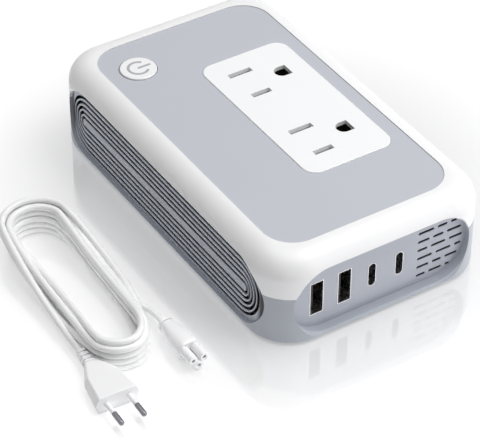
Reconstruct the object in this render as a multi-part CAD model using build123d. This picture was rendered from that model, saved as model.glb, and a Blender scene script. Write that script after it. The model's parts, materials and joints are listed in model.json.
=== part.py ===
from build123d import *
from math import cos, hypot, pi, radians, sin, sqrt, tan
import os

# Travel voltage converter with two mains outlets, four charging ports and a loose mains lead.
# Millimetres. +Z is up, +Y runs along the case to its inlet end, the charging ports face -Y.
# The origin is on the table, under the middle of the case.
os.makedirs("parts", exist_ok=True)

# case
body_length = 134.2
body_width = 80.0
body_height = 32.0
foot_proud = 0.6
corner_radius = 14.5
top_edge_radius = 8.0
bottom_edge_radius = 1.4
wall = 2.0
floor_thickness = 1.6
cover_roof = 3.4
split_height = 18.4
lip_height = 1.6
lip_thickness = 0.9
shell_gap = 0.1
overrun = 20.0

# stadium windows in the case's four sides
window_centre_z = 14.2
window_radius = 12.1
end_window_margin = 7.7
end_window_width = body_width - 2 * end_window_margin
side_window_margin = 8.1
side_window_length = body_length - 2 * side_window_margin
end_recess = 3.8
side_recess = 1.2
end_panel_thickness = 1.6
side_panel_thickness = 1.6
panel_flange = 0.6
collar_width = 1.7
collar_back = 0.9
rim_round = 0.5
window_flare = 0.9
flare_angle = 45

# vents in the side panels
vent_grooves = 5
vent_inner_half_height = 1.9
vent_pitch = 2.1
vent_inner_half_length = 49.9
vent_end_pitch = 1.45
vent_groove_width = 1.1
vent_groove_depth = 0.9
vent_corner_flat = 0.5
vent_bars = 9
vent_bar_width = 1.6

# top inlay and socket plate
top_panel_side_margin = 8.0
top_panel_end_margin = 9.0
top_panel_width = body_width - 2 * top_panel_side_margin
top_panel_length = body_length - 2 * top_panel_end_margin
top_panel_radius = 10.3
top_panel_thickness = 1.2
top_panel_drop = 0.25
socket_plate_width = 32.2
socket_plate_length = 66.0
socket_plate_radius = 4.8
socket_plate_centre_x = 11.1
socket_window_margin = 2.4
fit_gap = 0.1

# outlets: pitch and blade places follow the two blade and earth pattern of 125 V sockets
outlet_pitch = 35.4
outlet_x = 5.7
blade_pitch = 12.7
earth_offset = 11.9
neutral_slot_length = 8.5
line_slot_length = 7.0
blade_slot_width = 2.1
earth_hole_size = 5.2
earth_hole_round = 2.55
slot_chamfer = 0.3

# outlet housings and shutters
housing_gap = 0.3
housing_bottom = 15.0
shutter_thickness = 0.8
shutter_width = 11.0
shutter_travel = 3.2
shutter_end = 0.9
shutter_gap = 0.15
blade_well_width = 3.6
blade_well_margin = 0.4
earth_well_size = 6.0
clip_thickness = 0.5
clip_gap = 1.3
clip_top_gap = 3.0
bus_width = 2.4
bus_thickness = 0.6
bus_line_x = 3.2
bus_neutral_x = 8.2
earth_clip_radius = 2.6

# power button
button_x = -20.9
button_y = 43.6
button_radius = 6.1
button_gap = 0.3
button_proud = 0.45
button_travel = 0.8
button_flange = 0.9
button_flange_thickness = 0.9
button_rest_gap = 0.1
button_hole_gap = 0.3
button_dome = 0.4
stem_radius = 1.8
symbol_radius = 3.3
symbol_line = 0.95
symbol_depth = 0.3
symbol_opening = 84.0
symbol_bar_start = -0.3
symbol_bar_end = 4.6
switch_size = 6.2
switch_height = 3.5
plunger_height = 0.6
plunger_depth = 1.8
plunger_clearance = 0.06
switch_board_size = 16.0
switch_board_thickness = 1.2
switch_post_radius = 1.2
switch_post_inset = 1.4

# charging ports
port_z = 13.3
port_first_x = -22.6
port_pitch = 10.05
usb_a_height = 12.5
usb_a_width = 5.1
port_depth = 13.6
usb_a_shell = 0.35
usb_a_tongue_thickness = 1.8
usb_a_tongue_height = 11.0
usb_a_tongue_depth = 8.8
usb_a_tongue_offset = 0.6
usb_c_height = 8.94
usb_c_width = 3.16
usb_c_shell = 0.3
usb_c_tongue_thickness = 0.7
usb_c_tongue_height = 6.7
usb_c_tongue_depth = 7.5
port_back = 2.4
port_gap = 0.08
port_board_thickness = 1.6
port_board_height = 21.0
port_board_margin = 5.4
port_board_guide = 1.6

# grille beside the ports
grille_left = 14.3
grille_row_pitch = 3.3
grille_slot_height = 0.95
grille_gap = 1.35
grille_centre_z = 13.2
grille_edge = 1.1
grille_length_shares = (
    (0.50, 0.31, 0.19),
    (0.32, 0.29, 0.39),
    (0.26, 0.385, 0.355),
    (0.41, 0.41, 0.18),
    (0.36, 0.27, 0.37),
    (0.34, 0.49, 0.17),
)

# fan behind the grille
fan_size = 20.0
fan_depth = 8.0
fan_x = 21.0
fan_front_y = -58.2
fan_bore_radius = 9.3
fan_corner = 2.0
fan_hole_radius = 1.1
fan_hole_inset = 2.0
rotor_radius = 8.8
rotor_hub_radius = 4.4
rotor_length = 5.2
rotor_blades = 7
fan_blade_thickness = 0.7
fan_blade_turn = 38.0
stator_radius = 4.2
stator_length = 1.4
strut_width = 1.6
strut_count = 4
rotor_pin_radius = 0.9
running_clearance = 0.05
rotor_end_gap = 0.3
cradle_wall = 1.3
cradle_height = 5.0

# screws and bosses
boss_radius = 2.8
boss_x = 32.2
boss_y = 46.8
boss_joint_z = 12.0
screw_radius = 1.3
screw_head_radius = 2.3
screw_head_height = 1.6
screw_head_sink = 2.6
screw_pilot_gap = 0.08
screw_length = 18.0
screw_cross = 0.7
screw_cross_length = 2.6
screw_cross_depth = 0.9
foot_radius = 4.5
foot_side_margin = 11.0
foot_end_margin = 11.6
foot_x = body_width / 2 - foot_side_margin
foot_y = body_length / 2 - foot_end_margin
foot_sink = 0.8
foot_round = 0.25

# circuit board and what stands on it
board_width = 68.0
board_length = 87.0
board_thickness = 1.6
board_z = 5.2
post_radius = 2.4
post_x = 31.0
post_y = 40.0
board_screw_radius = 0.9
board_screw_head = 1.7
board_screw_head_height = 1.0
board_screw_length = 4.2
transformer_x = -17.5
transformer_y = -22.0
core_width = 27.0
core_length = 27.0
core_height = 12.0
core_leg = 5.2
core_middle = 8.0
winding_height = 19.0
winding_round = 1.5
winding_gap = 0.2
capacitor_radius = 6.3
capacitor_height = 18.0
capacitor_x = -18.7
capacitor_pitch = 15.0
capacitor_round = 0.8
capacitor_y = 2.5
inductor_x = -16.0
inductor_y = 22.0
inductor_radius = 10.5
inductor_bore = 5.0
inductor_height = 8.0
inductor_wire = 1.1
inductor_split = 3.0
sink_x = 28.2
sink_length = 76.0
sink_height = 17.0
sink_web = 1.6
sink_fin = 4.2
sink_fins = 7
sink_fin_thickness = 1.1
transistor_count = 4
transistor_width = 10.0
transistor_height = 13.0
transistor_thickness = 2.6
transistor_lift = 2.0
transistor_leg = 0.9
transistor_pitch = 18.0
fuse_x = -30.5
fuse_y = 26.0
fuse_radius = 2.5
fuse_length = 12.0
fuse_cap_length = 3.0
fuse_glass_step = 0.2
fuse_clip_wall = 0.5
fuse_clip_opening = 2.6
terminal_x = 8.0
terminal_y = 33.0
terminal_width = 17.0
terminal_depth = 8.0
terminal_height = 5.5
terminal_pitch = 5.4
terminal_screw_radius = 1.5
terminal_screw_depth = 1.6

# mains inlet in the rear panel
inlet_pin_pitch = 10.0
inlet_earth_drop = 6.6
inlet_pin_radius = 1.2
inlet_pin_length = 10.0
inlet_lobe_radius = 3.9
inlet_pin_z = 16.0
inlet_depth = 12.0
inlet_wall = 1.6
inlet_back = 2.4
inlet_flange = 1.2
inlet_flange_proud = 1.0
inlet_tail = 3.0
wire_radius = 0.8
wire_lead = 3.2
wire_bend = 2.4
wire_z = 9.4

# mains lead, as large as it is drawn beside the case
cord_diameter = 2.2
cord_gap = 0.45
hank_x = -74.95
hank_y = -10.0
hank_turn = -1.0
hank_straight = 54.0
hank_outer_radius = 10.6
hank_lean = 2.8
hank_entry = 20.0
hank_exit = 3.0
hank_ranks = (0, 0, 1, 1, 1, 0, 0, 0, 1, 1, 1, 0, 0, -1)
hank_climbs = (3, 6, 9)
entry_run_length = 5.0
exit_run_length = 9.0
connector_route = ((-62.6, -28.0, 1.5), (-61.3, -34.0, 3.5))
plug_route = ((-88.75, -6.0, 7.6), (-89.3, -17.0, 4.9), (-89.15, -24.6, 3.5))
sample_step = 0.6
bend_share = 0.45
plug_neck_x = -88.9
plug_neck_y = -42.8
plug_turn = -2.0
plug_run_length = 5.5
plug_width = 15.0
plug_shoulder_width = 11.8
plug_bevel = 1.3
plug_height = 5.9
plug_length = 17.4
plug_neck_width = 4.4
plug_neck_height = 3.6
plug_shoulder_share = 0.42
relief_length = 6.4
relief_tip_radius = 1.55
relief_ribs = 3
relief_rib_width = 0.8
relief_rib_pitch = 1.9
relief_rib_proud = 0.25
plug_pin_pitch = 7.4
plug_pin_radius = 0.86
plug_pin_length = 9.6
plug_pin_core_radius = 0.5
plug_pin_sink = 3.0
plug_pin_round = 0.4
plug_sleeve_length = 5.6
plug_sleeve_radius = 0.80
plug_sleeve_sink = 1.6
connector_x = -61.3
connector_rear_y = -39.6
connector_length = 14.0
connector_width = 8.2
connector_height = 7.0
connector_middle_share = 0.55
connector_middle_width = 7.2
connector_middle_height = 6.2
connector_rear_width = 4.4
connector_rear_height = 4.4
connector_round = 1.5
connector_collar = 0.9
connector_collar_rise = 0.25
barrel_radius = 1.35
barrel_length = 5.6
barrel_pitch = 4.3
barrel_drop = 2.6
barrel_lift = 0.75
barrel_bore = 0.62
barrel_sink = 1.5
contact_wall = 0.15
contact_setback = 0.4

# shared forms
base_bottom = foot_proud
floor_top = base_bottom + floor_thickness
half_length = body_length / 2
half_width = body_width / 2
roof_z = body_height - cover_roof
top_panel_top = body_height - top_panel_drop
top_panel_bottom = top_panel_top - top_panel_thickness


def prism(inset, bottom, top):
    plan = RectangleRounded(body_width - 2 * inset, body_length - 2 * inset, corner_radius - inset)
    return Pos(0, 0, bottom) * extrude(plan, top - bottom)


def rounded_form(inset, bottom, top, bottom_round, top_round):
    form = prism(inset, bottom, top)
    form = fillet(form.faces().sort_by(Axis.Z)[-1].edges(), top_round)
    return fillet(form.faces().sort_by(Axis.Z)[0].edges(), bottom_round)


def box(x0, x1, y0, y1, z0, z1):
    return Pos((x0 + x1) / 2, (y0 + y1) / 2, (z0 + z1) / 2) * Box(x1 - x0, y1 - y0, z1 - z0)


def rod(x, y, z0, z1, radius):
    return Pos(x, y, (z0 + z1) / 2) * Cylinder(radius, z1 - z0)


# bars across the end (along Y) and across the side (along X), with a stadium's outline
def end_stadium(width, radius, y0, y1):
    face = Plane(origin=(0, y1, window_centre_z), x_dir=(1, 0, 0), z_dir=(0, -1, 0))
    return face * extrude(SlotOverall(width, 2 * radius), y1 - y0)


def side_stadium(length, radius, x0, x1):
    face = Plane(origin=(x0, 0, window_centre_z), x_dir=(0, 1, 0), z_dir=(1, 0, 0))
    return face * extrude(SlotOverall(length, 2 * radius), x1 - x0)


def save(shape, name):
    export_step(shape, f"parts/{name}.step")


def group(shapes):
    return Compound(children=list(shapes))


# casing: one walled form with a collar round each window, then split at a stepped joint
end_collar_back = end_recess + end_panel_thickness + collar_back
side_collar_back = side_recess + side_panel_thickness + collar_back
end_cut_y = half_length - 2 * end_collar_back
side_cut_x = half_width - corner_radius * (1 - 1 / sqrt(2)) - side_collar_back
signs = (-1, 1)


def end_ring(extra, sign):
    near, far = sorted((sign * end_cut_y, sign * (half_length + overrun)))
    return end_stadium(end_window_width + 2 * extra, window_radius + extra, near, far)


# flat layer across an end, from one depth behind the case's end face to another
def end_layer(depth, far_depth, sign):
    near, far = sorted((sign * (half_length - far_depth), sign * (half_length - depth)))
    return box(-half_width, half_width, near, far, -overrun, body_height)


def end_panel_layer(sign):
    return end_layer(end_recess, end_recess + end_panel_thickness, sign)


def side_ring(extra, sign):
    near, far = sorted((sign * side_cut_x, sign * (half_width + overrun)))
    return side_stadium(side_window_length + 2 * extra, window_radius + extra, near, far)


# mouth of an end window, which widens towards the case's end face
def end_mouth(sign):
    start = sign * (half_length - window_flare)
    face = Plane(origin=(0, start, window_centre_z), x_dir=(1, 0, 0), z_dir=(0, sign, 0))
    outline = SlotOverall(end_window_width, 2 * window_radius)
    return face * extrude(outline, 2 * window_flare, taper=-flare_angle)


def boss(x, y, z0, z1):
    return rod(x, y, z0, z1, boss_radius)


boss_places = [(x * boss_x, y * boss_y) for x in signs for y in signs]
post_places = [(x * post_x, y * post_y) for x in signs for y in signs]
foot_places = [(x * foot_x, y * foot_y) for x in signs for y in signs]
switch_board_top = roof_z - switch_height - button_hole_gap
switch_board_bottom = switch_board_top - switch_board_thickness
switch_post_offset = switch_board_size / 2 - switch_post_inset
fan_back_y = fan_front_y + fan_depth
fan_bottom = grille_centre_z - fan_size / 2
port_front_y = -(half_length - end_recess)
port_board_front_y = port_front_y + port_depth
port_board_back_y = port_board_front_y + port_board_thickness
port_xs = [port_first_x + i * port_pitch for i in range(4)]
port_board_left = port_xs[0] - port_board_margin
port_board_right = port_xs[3] + port_board_margin


def make_casing():
    outside = rounded_form(0, base_bottom, body_height, bottom_edge_radius, top_edge_radius)
    inside = rounded_form(wall, floor_top, roof_z, wall / 2, top_edge_radius - cover_roof + rim_round)
    shell = outside - inside
    for sign in signs:
        shell += outside & end_ring(collar_width, sign) & end_layer(-overrun, end_collar_back, sign)
        shell += outside & (side_ring(collar_width, sign) - prism(side_collar_back, -overrun, body_height))
    for x, y in boss_places:
        shell += boss(x, y, floor_top, roof_z)
    for sign in signs:
        shell -= end_ring(0, sign)
        shell -= end_mouth(sign)
        shell -= side_ring(0, sign)
        slot_side = prism(side_recess, -overrun, body_height)
        slot_side -= prism(side_recess + side_panel_thickness, -overrun, body_height)
        shell -= end_ring(panel_flange + fit_gap, sign) & end_panel_layer(sign)
        shell -= side_ring(panel_flange + fit_gap, sign) & slot_side
    return shell


def make_base(casing):
    lip_inset = wall - lip_thickness + shell_gap / 2
    above = prism(-overrun, split_height, body_height + overrun)
    above -= prism(lip_inset, -overrun, split_height + lip_height)
    base = casing - above
    for x, y in boss_places:
        base -= rod(x, y, boss_joint_z, body_height, boss_radius + shell_gap)
        base -= rod(x, y, -overrun, base_bottom + screw_head_sink, screw_head_radius + fit_gap)
        base -= rod(x, y, -overrun, boss_joint_z, screw_radius + fit_gap)
    for x, y in post_places:
        base += rod(x, y, floor_top, board_z, post_radius)
        base -= rod(x, y, board_z + board_thickness - board_screw_length, board_z, board_screw_radius)
    for x, y in foot_places:
        base -= rod(x, y, -overrun, base_bottom + foot_sink, foot_radius + fit_gap)
    return base + make_cradles()


# a pad and low ribs on the floor that hold the fan and the ports' board upright
def make_cradles():
    left = fan_x - fan_size / 2 - fit_gap
    right = fan_x + fan_size / 2
    rib_top = floor_top + cradle_height
    cradle = box(left, right, fan_front_y, fan_back_y, floor_top, fan_bottom)
    cradle += box(left - cradle_wall, left, fan_front_y, fan_back_y, floor_top, rib_top)
    for x in (port_board_left, left - 2 * cradle_wall):
        back = port_board_back_y + fit_gap
        cradle += box(x, x + cradle_wall, back, back + port_board_guide, floor_top, rib_top)
        front = port_board_front_y - fit_gap
        low = floor_top + port_board_guide
        cradle += box(x, x + cradle_wall, front - port_board_guide, front, floor_top, low)
    return cradle


socket_window_half_x = socket_plate_width / 2 - socket_window_margin
socket_window_half_y = socket_plate_length / 2 - socket_window_margin


def make_cover(casing):
    lip_inset = wall - lip_thickness - shell_gap / 2
    below = prism(-overrun, -overrun, split_height)
    below += prism(lip_inset, -overrun, split_height + lip_height + shell_gap)
    cover = casing - below
    for x, y in boss_places:
        cover += boss(x, y, boss_joint_z + shell_gap, split_height + 2 * lip_height)
    for x, y in boss_places:
        cover -= rod(x, y, -overrun, base_bottom + screw_head_sink + screw_length, screw_radius)
    pocket = RectangleRounded(
        top_panel_width + 2 * fit_gap, top_panel_length + 2 * fit_gap, top_panel_radius + fit_gap
    )
    cover -= Pos(0, 0, top_panel_bottom) * extrude(pocket, overrun)
    cover -= box(
        socket_plate_centre_x - socket_window_half_x, socket_plate_centre_x + socket_window_half_x,
        -socket_window_half_y, socket_window_half_y, split_height, body_height,
    )
    hole_radius = button_radius + button_flange + button_hole_gap
    cover -= rod(button_x, button_y, split_height, body_height, hole_radius)
    for x in signs:
        for y in signs:
            px = button_x + x * switch_post_offset
            py = button_y + y * switch_post_offset
            cover += rod(px, py, switch_board_top, roof_z + rim_round, switch_post_radius)
    return cover


def make_top_panel():
    outline = RectangleRounded(top_panel_width, top_panel_length, top_panel_radius)
    plate = Pos(0, 0, top_panel_bottom) * extrude(outline, top_panel_thickness)
    hole = RectangleRounded(
        socket_plate_width + 2 * fit_gap, socket_plate_length + 2 * fit_gap, socket_plate_radius + fit_gap
    )
    plate -= Pos(socket_plate_centre_x, 0, top_panel_bottom - overrun / 2) * extrude(hole, overrun)
    plate -= rod(button_x, button_y, top_panel_bottom - overrun, body_height, button_radius + button_gap)
    return plate


# outlets
outlet_ys = (outlet_pitch / 2, -outlet_pitch / 2)
neutral_y = blade_pitch / 2
line_y = -blade_pitch / 2
earth_x = outlet_x + earth_offset


def earth_profile(size, round_radius):
    flat = Pos(size / 2 - round_radius / 2, 0) * Rectangle(round_radius, size)
    return flat + Pos(size / 2 - round_radius, 0) * Circle(size / 2) & Rectangle(size, size)


def blade_holes(bottom, top, extra):
    holes = []
    for y in outlet_ys:
        for offset, length in ((neutral_y, neutral_slot_length), (line_y, line_slot_length)):
            half_slot = blade_slot_width / 2 + extra
            x0 = outlet_x - length / 2 - extra
            x1 = outlet_x + length / 2 + extra
            holes.append(box(x0, x1, y + offset - half_slot, y + offset + half_slot, bottom, top))
        profile = Pos(earth_x, y) * earth_profile(earth_hole_size + 2 * extra, earth_hole_round + extra)
        holes.append(Pos(0, 0, bottom) * extrude(profile, top - bottom))
    return holes


def make_socket_plate():
    height = body_height - top_panel_bottom
    plate = extrude(RectangleRounded(socket_plate_width, socket_plate_length, socket_plate_radius), height)
    plate = Pos(socket_plate_centre_x, 0, top_panel_bottom) * plate
    plate = fillet(plate.faces().sort_by(Axis.Z)[-1].edges(), slot_chamfer)
    for hole in blade_holes(top_panel_bottom - overrun, body_height + overrun, 0):
        plate -= hole
    return plate


shutter_top = top_panel_bottom - shutter_gap
shutter_bottom = shutter_top - shutter_thickness
shutter_low_y = line_y - blade_slot_width / 2 - shutter_end - shutter_travel
shutter_high_y = neutral_y + blade_slot_width / 2 + shutter_end
shutter_x0 = outlet_x - shutter_width / 2
shutter_x1 = outlet_x + shutter_width / 2


def make_housing(y):
    half_x = socket_window_half_x - housing_gap
    half_y = socket_window_half_y - housing_gap - outlet_pitch / 2
    block = box(
        socket_plate_centre_x - half_x, socket_plate_centre_x + half_x, y - half_y, y + half_y,
        housing_bottom, top_panel_bottom,
    )
    pocket_low = y + shutter_low_y - shutter_gap
    pocket_high = y + shutter_high_y + shutter_travel + shutter_gap
    pocket_bottom = shutter_bottom - shutter_gap
    block -= box(
        shutter_x0 - shutter_gap, shutter_x1 + shutter_gap, pocket_low, pocket_high,
        pocket_bottom, body_height,
    )
    for offset, length in ((neutral_y, neutral_slot_length), (line_y, line_slot_length)):
        wx0 = outlet_x - length / 2 - blade_well_margin
        wx1 = outlet_x + length / 2 + blade_well_margin
        half_well = blade_well_width / 2
        low = y + offset - half_well
        high = y + offset + half_well
        block -= box(wx0, wx1, low, high, housing_bottom - overrun, pocket_bottom + shutter_gap)
    profile = Pos(earth_x, y) * earth_profile(earth_well_size, earth_hole_round + blade_well_margin / 2)
    block -= Pos(0, 0, housing_bottom - overrun) * extrude(profile, body_height + overrun)
    return block


def make_shutter(y):
    plate = box(shutter_x0, shutter_x1, y + shutter_low_y, y + shutter_high_y, shutter_bottom, shutter_top)
    for offset, length in ((neutral_y, neutral_slot_length), (line_y, line_slot_length)):
        half_slot = blade_slot_width / 2
        centre = y + offset - shutter_travel
        x0 = outlet_x - length / 2 - shutter_gap
        x1 = outlet_x + length / 2 + shutter_gap
        plate -= box(x0, x1, centre - half_slot, centre + half_slot, floor_top, body_height)
    return plate


# a strip along Y under both outlets, with a two-leaf clip under each slot
def make_blade_bus(offset, bus_x):
    top = shutter_bottom - clip_top_gap
    bottom = housing_bottom - bus_thickness
    low_y = -outlet_pitch / 2 + offset - clip_gap / 2 - clip_thickness
    high_y = outlet_pitch / 2 + offset + clip_gap / 2 + clip_thickness
    bus = box(bus_x - bus_width / 2, bus_x + bus_width / 2, low_y, high_y, bottom, housing_bottom)
    for y in outlet_ys:
        for side in signs:
            inner = y + offset + side * clip_gap / 2
            low, high = sorted((inner, inner + side * clip_thickness))
            bus += box(bus_x - bus_width / 2, bus_x + bus_width / 2, low, high, bottom, top)
    return bus


def make_earth_bus():
    top = shutter_bottom - clip_top_gap
    bottom = housing_bottom - bus_thickness
    reach = outlet_pitch / 2 + earth_clip_radius
    bus = box(earth_x - bus_width / 2, earth_x + bus_width / 2, -reach, reach, bottom, housing_bottom)
    for y in outlet_ys:
        tube = rod(earth_x, y, bottom, top, earth_clip_radius)
        tube -= rod(earth_x, y, housing_bottom, top + overrun, earth_clip_radius - clip_thickness)
        slit = clip_thickness
        tube -= box(earth_x - slit, earth_x + slit, y - overrun / 2, y + overrun / 2, housing_bottom, top)
        bus += tube
    return bus


# power button, its printed mark and the switch below it
button_top = top_panel_top + button_proud
button_shoulder = top_panel_bottom - button_rest_gap
plunger_top = switch_board_top + switch_height + plunger_height


def make_button():
    skirt_top = button_shoulder
    skirt_bottom = skirt_top - button_flange_thickness
    cap = rod(button_x, button_y, skirt_top, button_top, button_radius)
    cap = fillet(cap.faces().sort_by(Axis.Z)[-1].edges(), button_dome)
    cap += rod(button_x, button_y, skirt_bottom, skirt_top, button_radius + button_flange)
    cap += rod(button_x, button_y, plunger_top, skirt_bottom, stem_radius)
    return cap - make_symbol(symbol_depth)


def make_symbol(depth):
    ring = Circle(symbol_radius + symbol_line / 2) - Circle(symbol_radius - symbol_line / 2)
    reach = 2 * symbol_radius
    spread = reach * tan(radians(symbol_opening / 2))
    ring -= make_face(Polyline((0, 0), (reach, spread), (reach, -spread), (0, 0)))
    bar_middle = (symbol_bar_start + symbol_bar_end) / 2
    bar = Pos(bar_middle, 0) * SlotOverall(symbol_bar_end - symbol_bar_start, symbol_line)
    return [Pos(button_x, button_y, button_top - depth) * extrude(mark, depth) for mark in (ring, bar)]


def make_plunger():
    return rod(button_x, button_y, plunger_top - plunger_height - plunger_depth, plunger_top, stem_radius)


# the plunger's bore in the switch leaves room for the button's whole travel
def make_switch():
    half_size = switch_size / 2
    top = switch_board_top + switch_height
    body = box(
        button_x - half_size, button_x + half_size, button_y - half_size, button_y + half_size,
        switch_board_top, top,
    )
    bore_bottom = top - plunger_depth - button_travel - button_rest_gap
    return body - rod(button_x, button_y, bore_bottom, body_height, stem_radius + plunger_clearance)


def make_switch_board():
    half_size = switch_board_size / 2
    return box(
        button_x - half_size, button_x + half_size, button_y - half_size, button_y + half_size,
        switch_board_bottom, switch_board_top,
    )


# panels: thin shells that follow the case's plan and fill its windows
def bar_y(sketch, x, z, y0, y1):
    return Plane(origin=(x, y1, z), x_dir=(1, 0, 0), z_dir=(0, -1, 0)) * extrude(sketch, y1 - y0)


def bar_x(sketch, y, z, x0, x1):
    return Plane(origin=(x0, y, z), x_dir=(0, 1, 0), z_dir=(1, 0, 0)) * extrude(sketch, x1 - x0)


def thin_wall(inset, thickness):
    return prism(inset, -overrun, body_height) - prism(inset + thickness, -overrun, body_height)


def port_outlines():
    outlines = []
    for i, x in enumerate(port_xs):
        if i < 2:
            outlines.append((x, Rectangle(usb_a_width + 2 * port_gap, usb_a_height + 2 * port_gap)))
        else:
            slot = SlotOverall(usb_c_height + 2 * port_gap, usb_c_width + 2 * port_gap)
            outlines.append((x, Rot(0, 0, 90) * slot))
    return outlines


def grille_slots():
    slots = []
    rows = len(grille_length_shares)
    arc_x = end_window_width / 2 - window_radius
    for row, shares in enumerate(grille_length_shares):
        z = grille_centre_z + ((rows - 1) / 2 - row) * grille_row_pitch
        right = arc_x + sqrt(window_radius**2 - (z - window_centre_z) ** 2) - grille_edge
        free = right - grille_left - (len(shares) - 1) * grille_gap
        x = grille_left
        for share in shares:
            length = share * free
            slots.append((x + length / 2, z, length))
            x += length + grille_gap
    return slots


def make_front_panel():
    panel = end_ring(panel_flange, -1) & end_panel_layer(-1)
    for x, outline in port_outlines():
        panel -= bar_y(outline, x, port_z, -half_length, -end_cut_y)
    for x, z, length in grille_slots():
        panel -= bar_y(SlotOverall(length, grille_slot_height), x, z, -half_length, -end_cut_y)
    return panel


# vents: ring grooves, open right through between upright bars at the back
def make_vent_panel(sign):
    panel = side_ring(panel_flange, sign) & thin_wall(side_recess, side_panel_thickness)
    half_groove = vent_groove_width / 2
    near, far = sorted((sign * side_cut_x, sign * half_width))
    step = 2 * vent_inner_half_length / (vent_bars - 1)
    bars = [-vent_inner_half_length + i * step for i in range(vent_bars)]
    floor_of_groove = prism(side_recess + vent_groove_depth, -overrun, body_height)
    for k in range(vent_grooves):
        half_long = vent_inner_half_length + k * vent_end_pitch
        half_high = vent_inner_half_height + k * vent_pitch
        radius = half_high - vent_corner_flat
        outer = RectangleRounded(
            2 * (half_long + half_groove), 2 * (half_high + half_groove), radius + half_groove
        )
        inner = RectangleRounded(
            2 * (half_long - half_groove), 2 * (half_high - half_groove), radius - half_groove
        )
        ring = bar_x(outer - inner, 0, window_centre_z, near, far)
        panel -= ring - floor_of_groove
        for y in bars:
            low, high = y - vent_bar_width / 2, y + vent_bar_width / 2
            ring -= box(near, far, low, high, -overrun, body_height)
        panel -= ring
    return panel


# charging ports, with their contact tongues and the upright board behind them
def make_usb_a_port(x):
    shell = bar_y(Rectangle(usb_a_width, usb_a_height), x, port_z, port_front_y, port_board_front_y)
    hollow = Rectangle(usb_a_width - 2 * usb_a_shell, usb_a_height - 2 * usb_a_shell)
    return shell - bar_y(hollow, x, port_z, port_front_y - overrun, port_board_front_y - port_back)


def make_usb_a_tongue(x):
    left = x - usb_a_width / 2 + usb_a_shell + usb_a_tongue_offset
    back = port_board_front_y - port_back
    half_high = usb_a_tongue_height / 2
    return box(
        left, left + usb_a_tongue_thickness, back - usb_a_tongue_depth, back,
        port_z - half_high, port_z + half_high,
    )


def make_usb_c_port(x):
    outline = Rot(0, 0, 90) * SlotOverall(usb_c_height, usb_c_width)
    hollow = Rot(0, 0, 90) * SlotOverall(usb_c_height - 2 * usb_c_shell, usb_c_width - 2 * usb_c_shell)
    shell = bar_y(outline, x, port_z, port_front_y, port_board_front_y)
    return shell - bar_y(hollow, x, port_z, port_front_y - overrun, port_board_front_y - port_back)


def make_usb_c_tongue(x):
    back = port_board_front_y - port_back
    half_wide = usb_c_tongue_thickness / 2
    half_high = usb_c_tongue_height / 2
    return box(
        x - half_wide, x + half_wide, back - usb_c_tongue_depth, back,
        port_z - half_high, port_z + half_high,
    )


def make_port_board():
    return box(
        port_board_left, port_board_right, port_board_front_y, port_board_back_y,
        floor_top, floor_top + port_board_height,
    )


# fan: a square frame with a motor seat on four struts, and a rotor on its pin
def make_fan_frame():
    frame = bar_y(
        RectangleRounded(fan_size, fan_size, fan_corner), fan_x, grille_centre_z, fan_front_y, fan_back_y
    )
    seat_front = fan_back_y - stator_length
    frame -= bar_y(
        Circle(fan_bore_radius), fan_x, grille_centre_z, fan_front_y - overrun, fan_back_y + overrun
    )
    for i in range(strut_count):
        angle = 360 * (i + 0.5) / strut_count
        strut = Rectangle(fan_bore_radius + fan_corner, strut_width)
        strut = Rot(0, 0, angle) * Pos(fan_bore_radius / 2, 0) * strut
        frame += bar_y(strut, fan_x, grille_centre_z, seat_front, fan_back_y) & (
            bar_y(Rectangle(fan_size, fan_size), fan_x, grille_centre_z, seat_front, fan_back_y)
        )
    frame += bar_y(Circle(stator_radius), fan_x, grille_centre_z, seat_front, fan_back_y)
    pin_front = seat_front - rotor_end_gap - rotor_length
    frame += bar_y(Circle(rotor_pin_radius), fan_x, grille_centre_z, pin_front, seat_front)
    reach = fan_size / 2 - fan_hole_inset
    for x in signs:
        for z in signs:
            hole = Circle(fan_hole_radius)
            frame -= bar_y(
                hole, fan_x + x * reach, grille_centre_z + z * reach,
                fan_front_y - overrun, fan_back_y + overrun,
            )
    return frame


def make_fan_rotor():
    back = fan_back_y - stator_length - rotor_end_gap
    front = back - rotor_length
    middle = (front + back) / 2
    rotor = bar_y(Circle(rotor_hub_radius), fan_x, grille_centre_z, front, back)
    swept = bar_y(Circle(rotor_radius), fan_x, grille_centre_z, front, back)
    blade = Pos(rotor_radius / 2, 0, 0) * Rot(fan_blade_turn, 0, 0) * (
        Box(rotor_radius + overrun / 2, overrun, fan_blade_thickness)
    )
    blade &= Pos((rotor_hub_radius + rotor_radius) / 2, 0, 0) * Box(rotor_radius, rotor_length, overrun)
    for i in range(rotor_blades):
        turned = Pos(fan_x, middle, grille_centre_z) * Rot(0, 360 * i / rotor_blades, 0) * blade
        rotor += turned & swept
    bore_radius = rotor_pin_radius + running_clearance
    return rotor - bar_y(Circle(bore_radius), fan_x, grille_centre_z, front - overrun, back + overrun)


# fasteners and feet
def make_case_screw(x, y):
    head_top = base_bottom + screw_head_sink
    screw = rod(x, y, head_top - screw_head_height, head_top, screw_head_radius)
    screw += rod(x, y, head_top, head_top + screw_length, screw_radius - screw_pilot_gap)
    low = head_top - screw_head_height
    half_long = screw_cross_length / 2
    half_wide = screw_cross / 2
    top = low + screw_cross_depth
    screw -= box(x - half_long, x + half_long, y - half_wide, y + half_wide, low - overrun, top)
    screw -= box(x - half_wide, x + half_wide, y - half_long, y + half_long, low - overrun, top)
    return screw


def make_board_screw(x, y):
    top = board_z + board_thickness
    screw = rod(x, y, top, top + board_screw_head_height, board_screw_head)
    return screw + rod(x, y, top - board_screw_length, top, board_screw_radius)


def make_foot(x, y):
    foot = rod(x, y, 0, base_bottom + foot_sink, foot_radius)
    return fillet(foot.faces().sort_by(Axis.Z)[0].edges(), foot_round)


# circuit board and what stands on it
board_top = board_z + board_thickness


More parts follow.
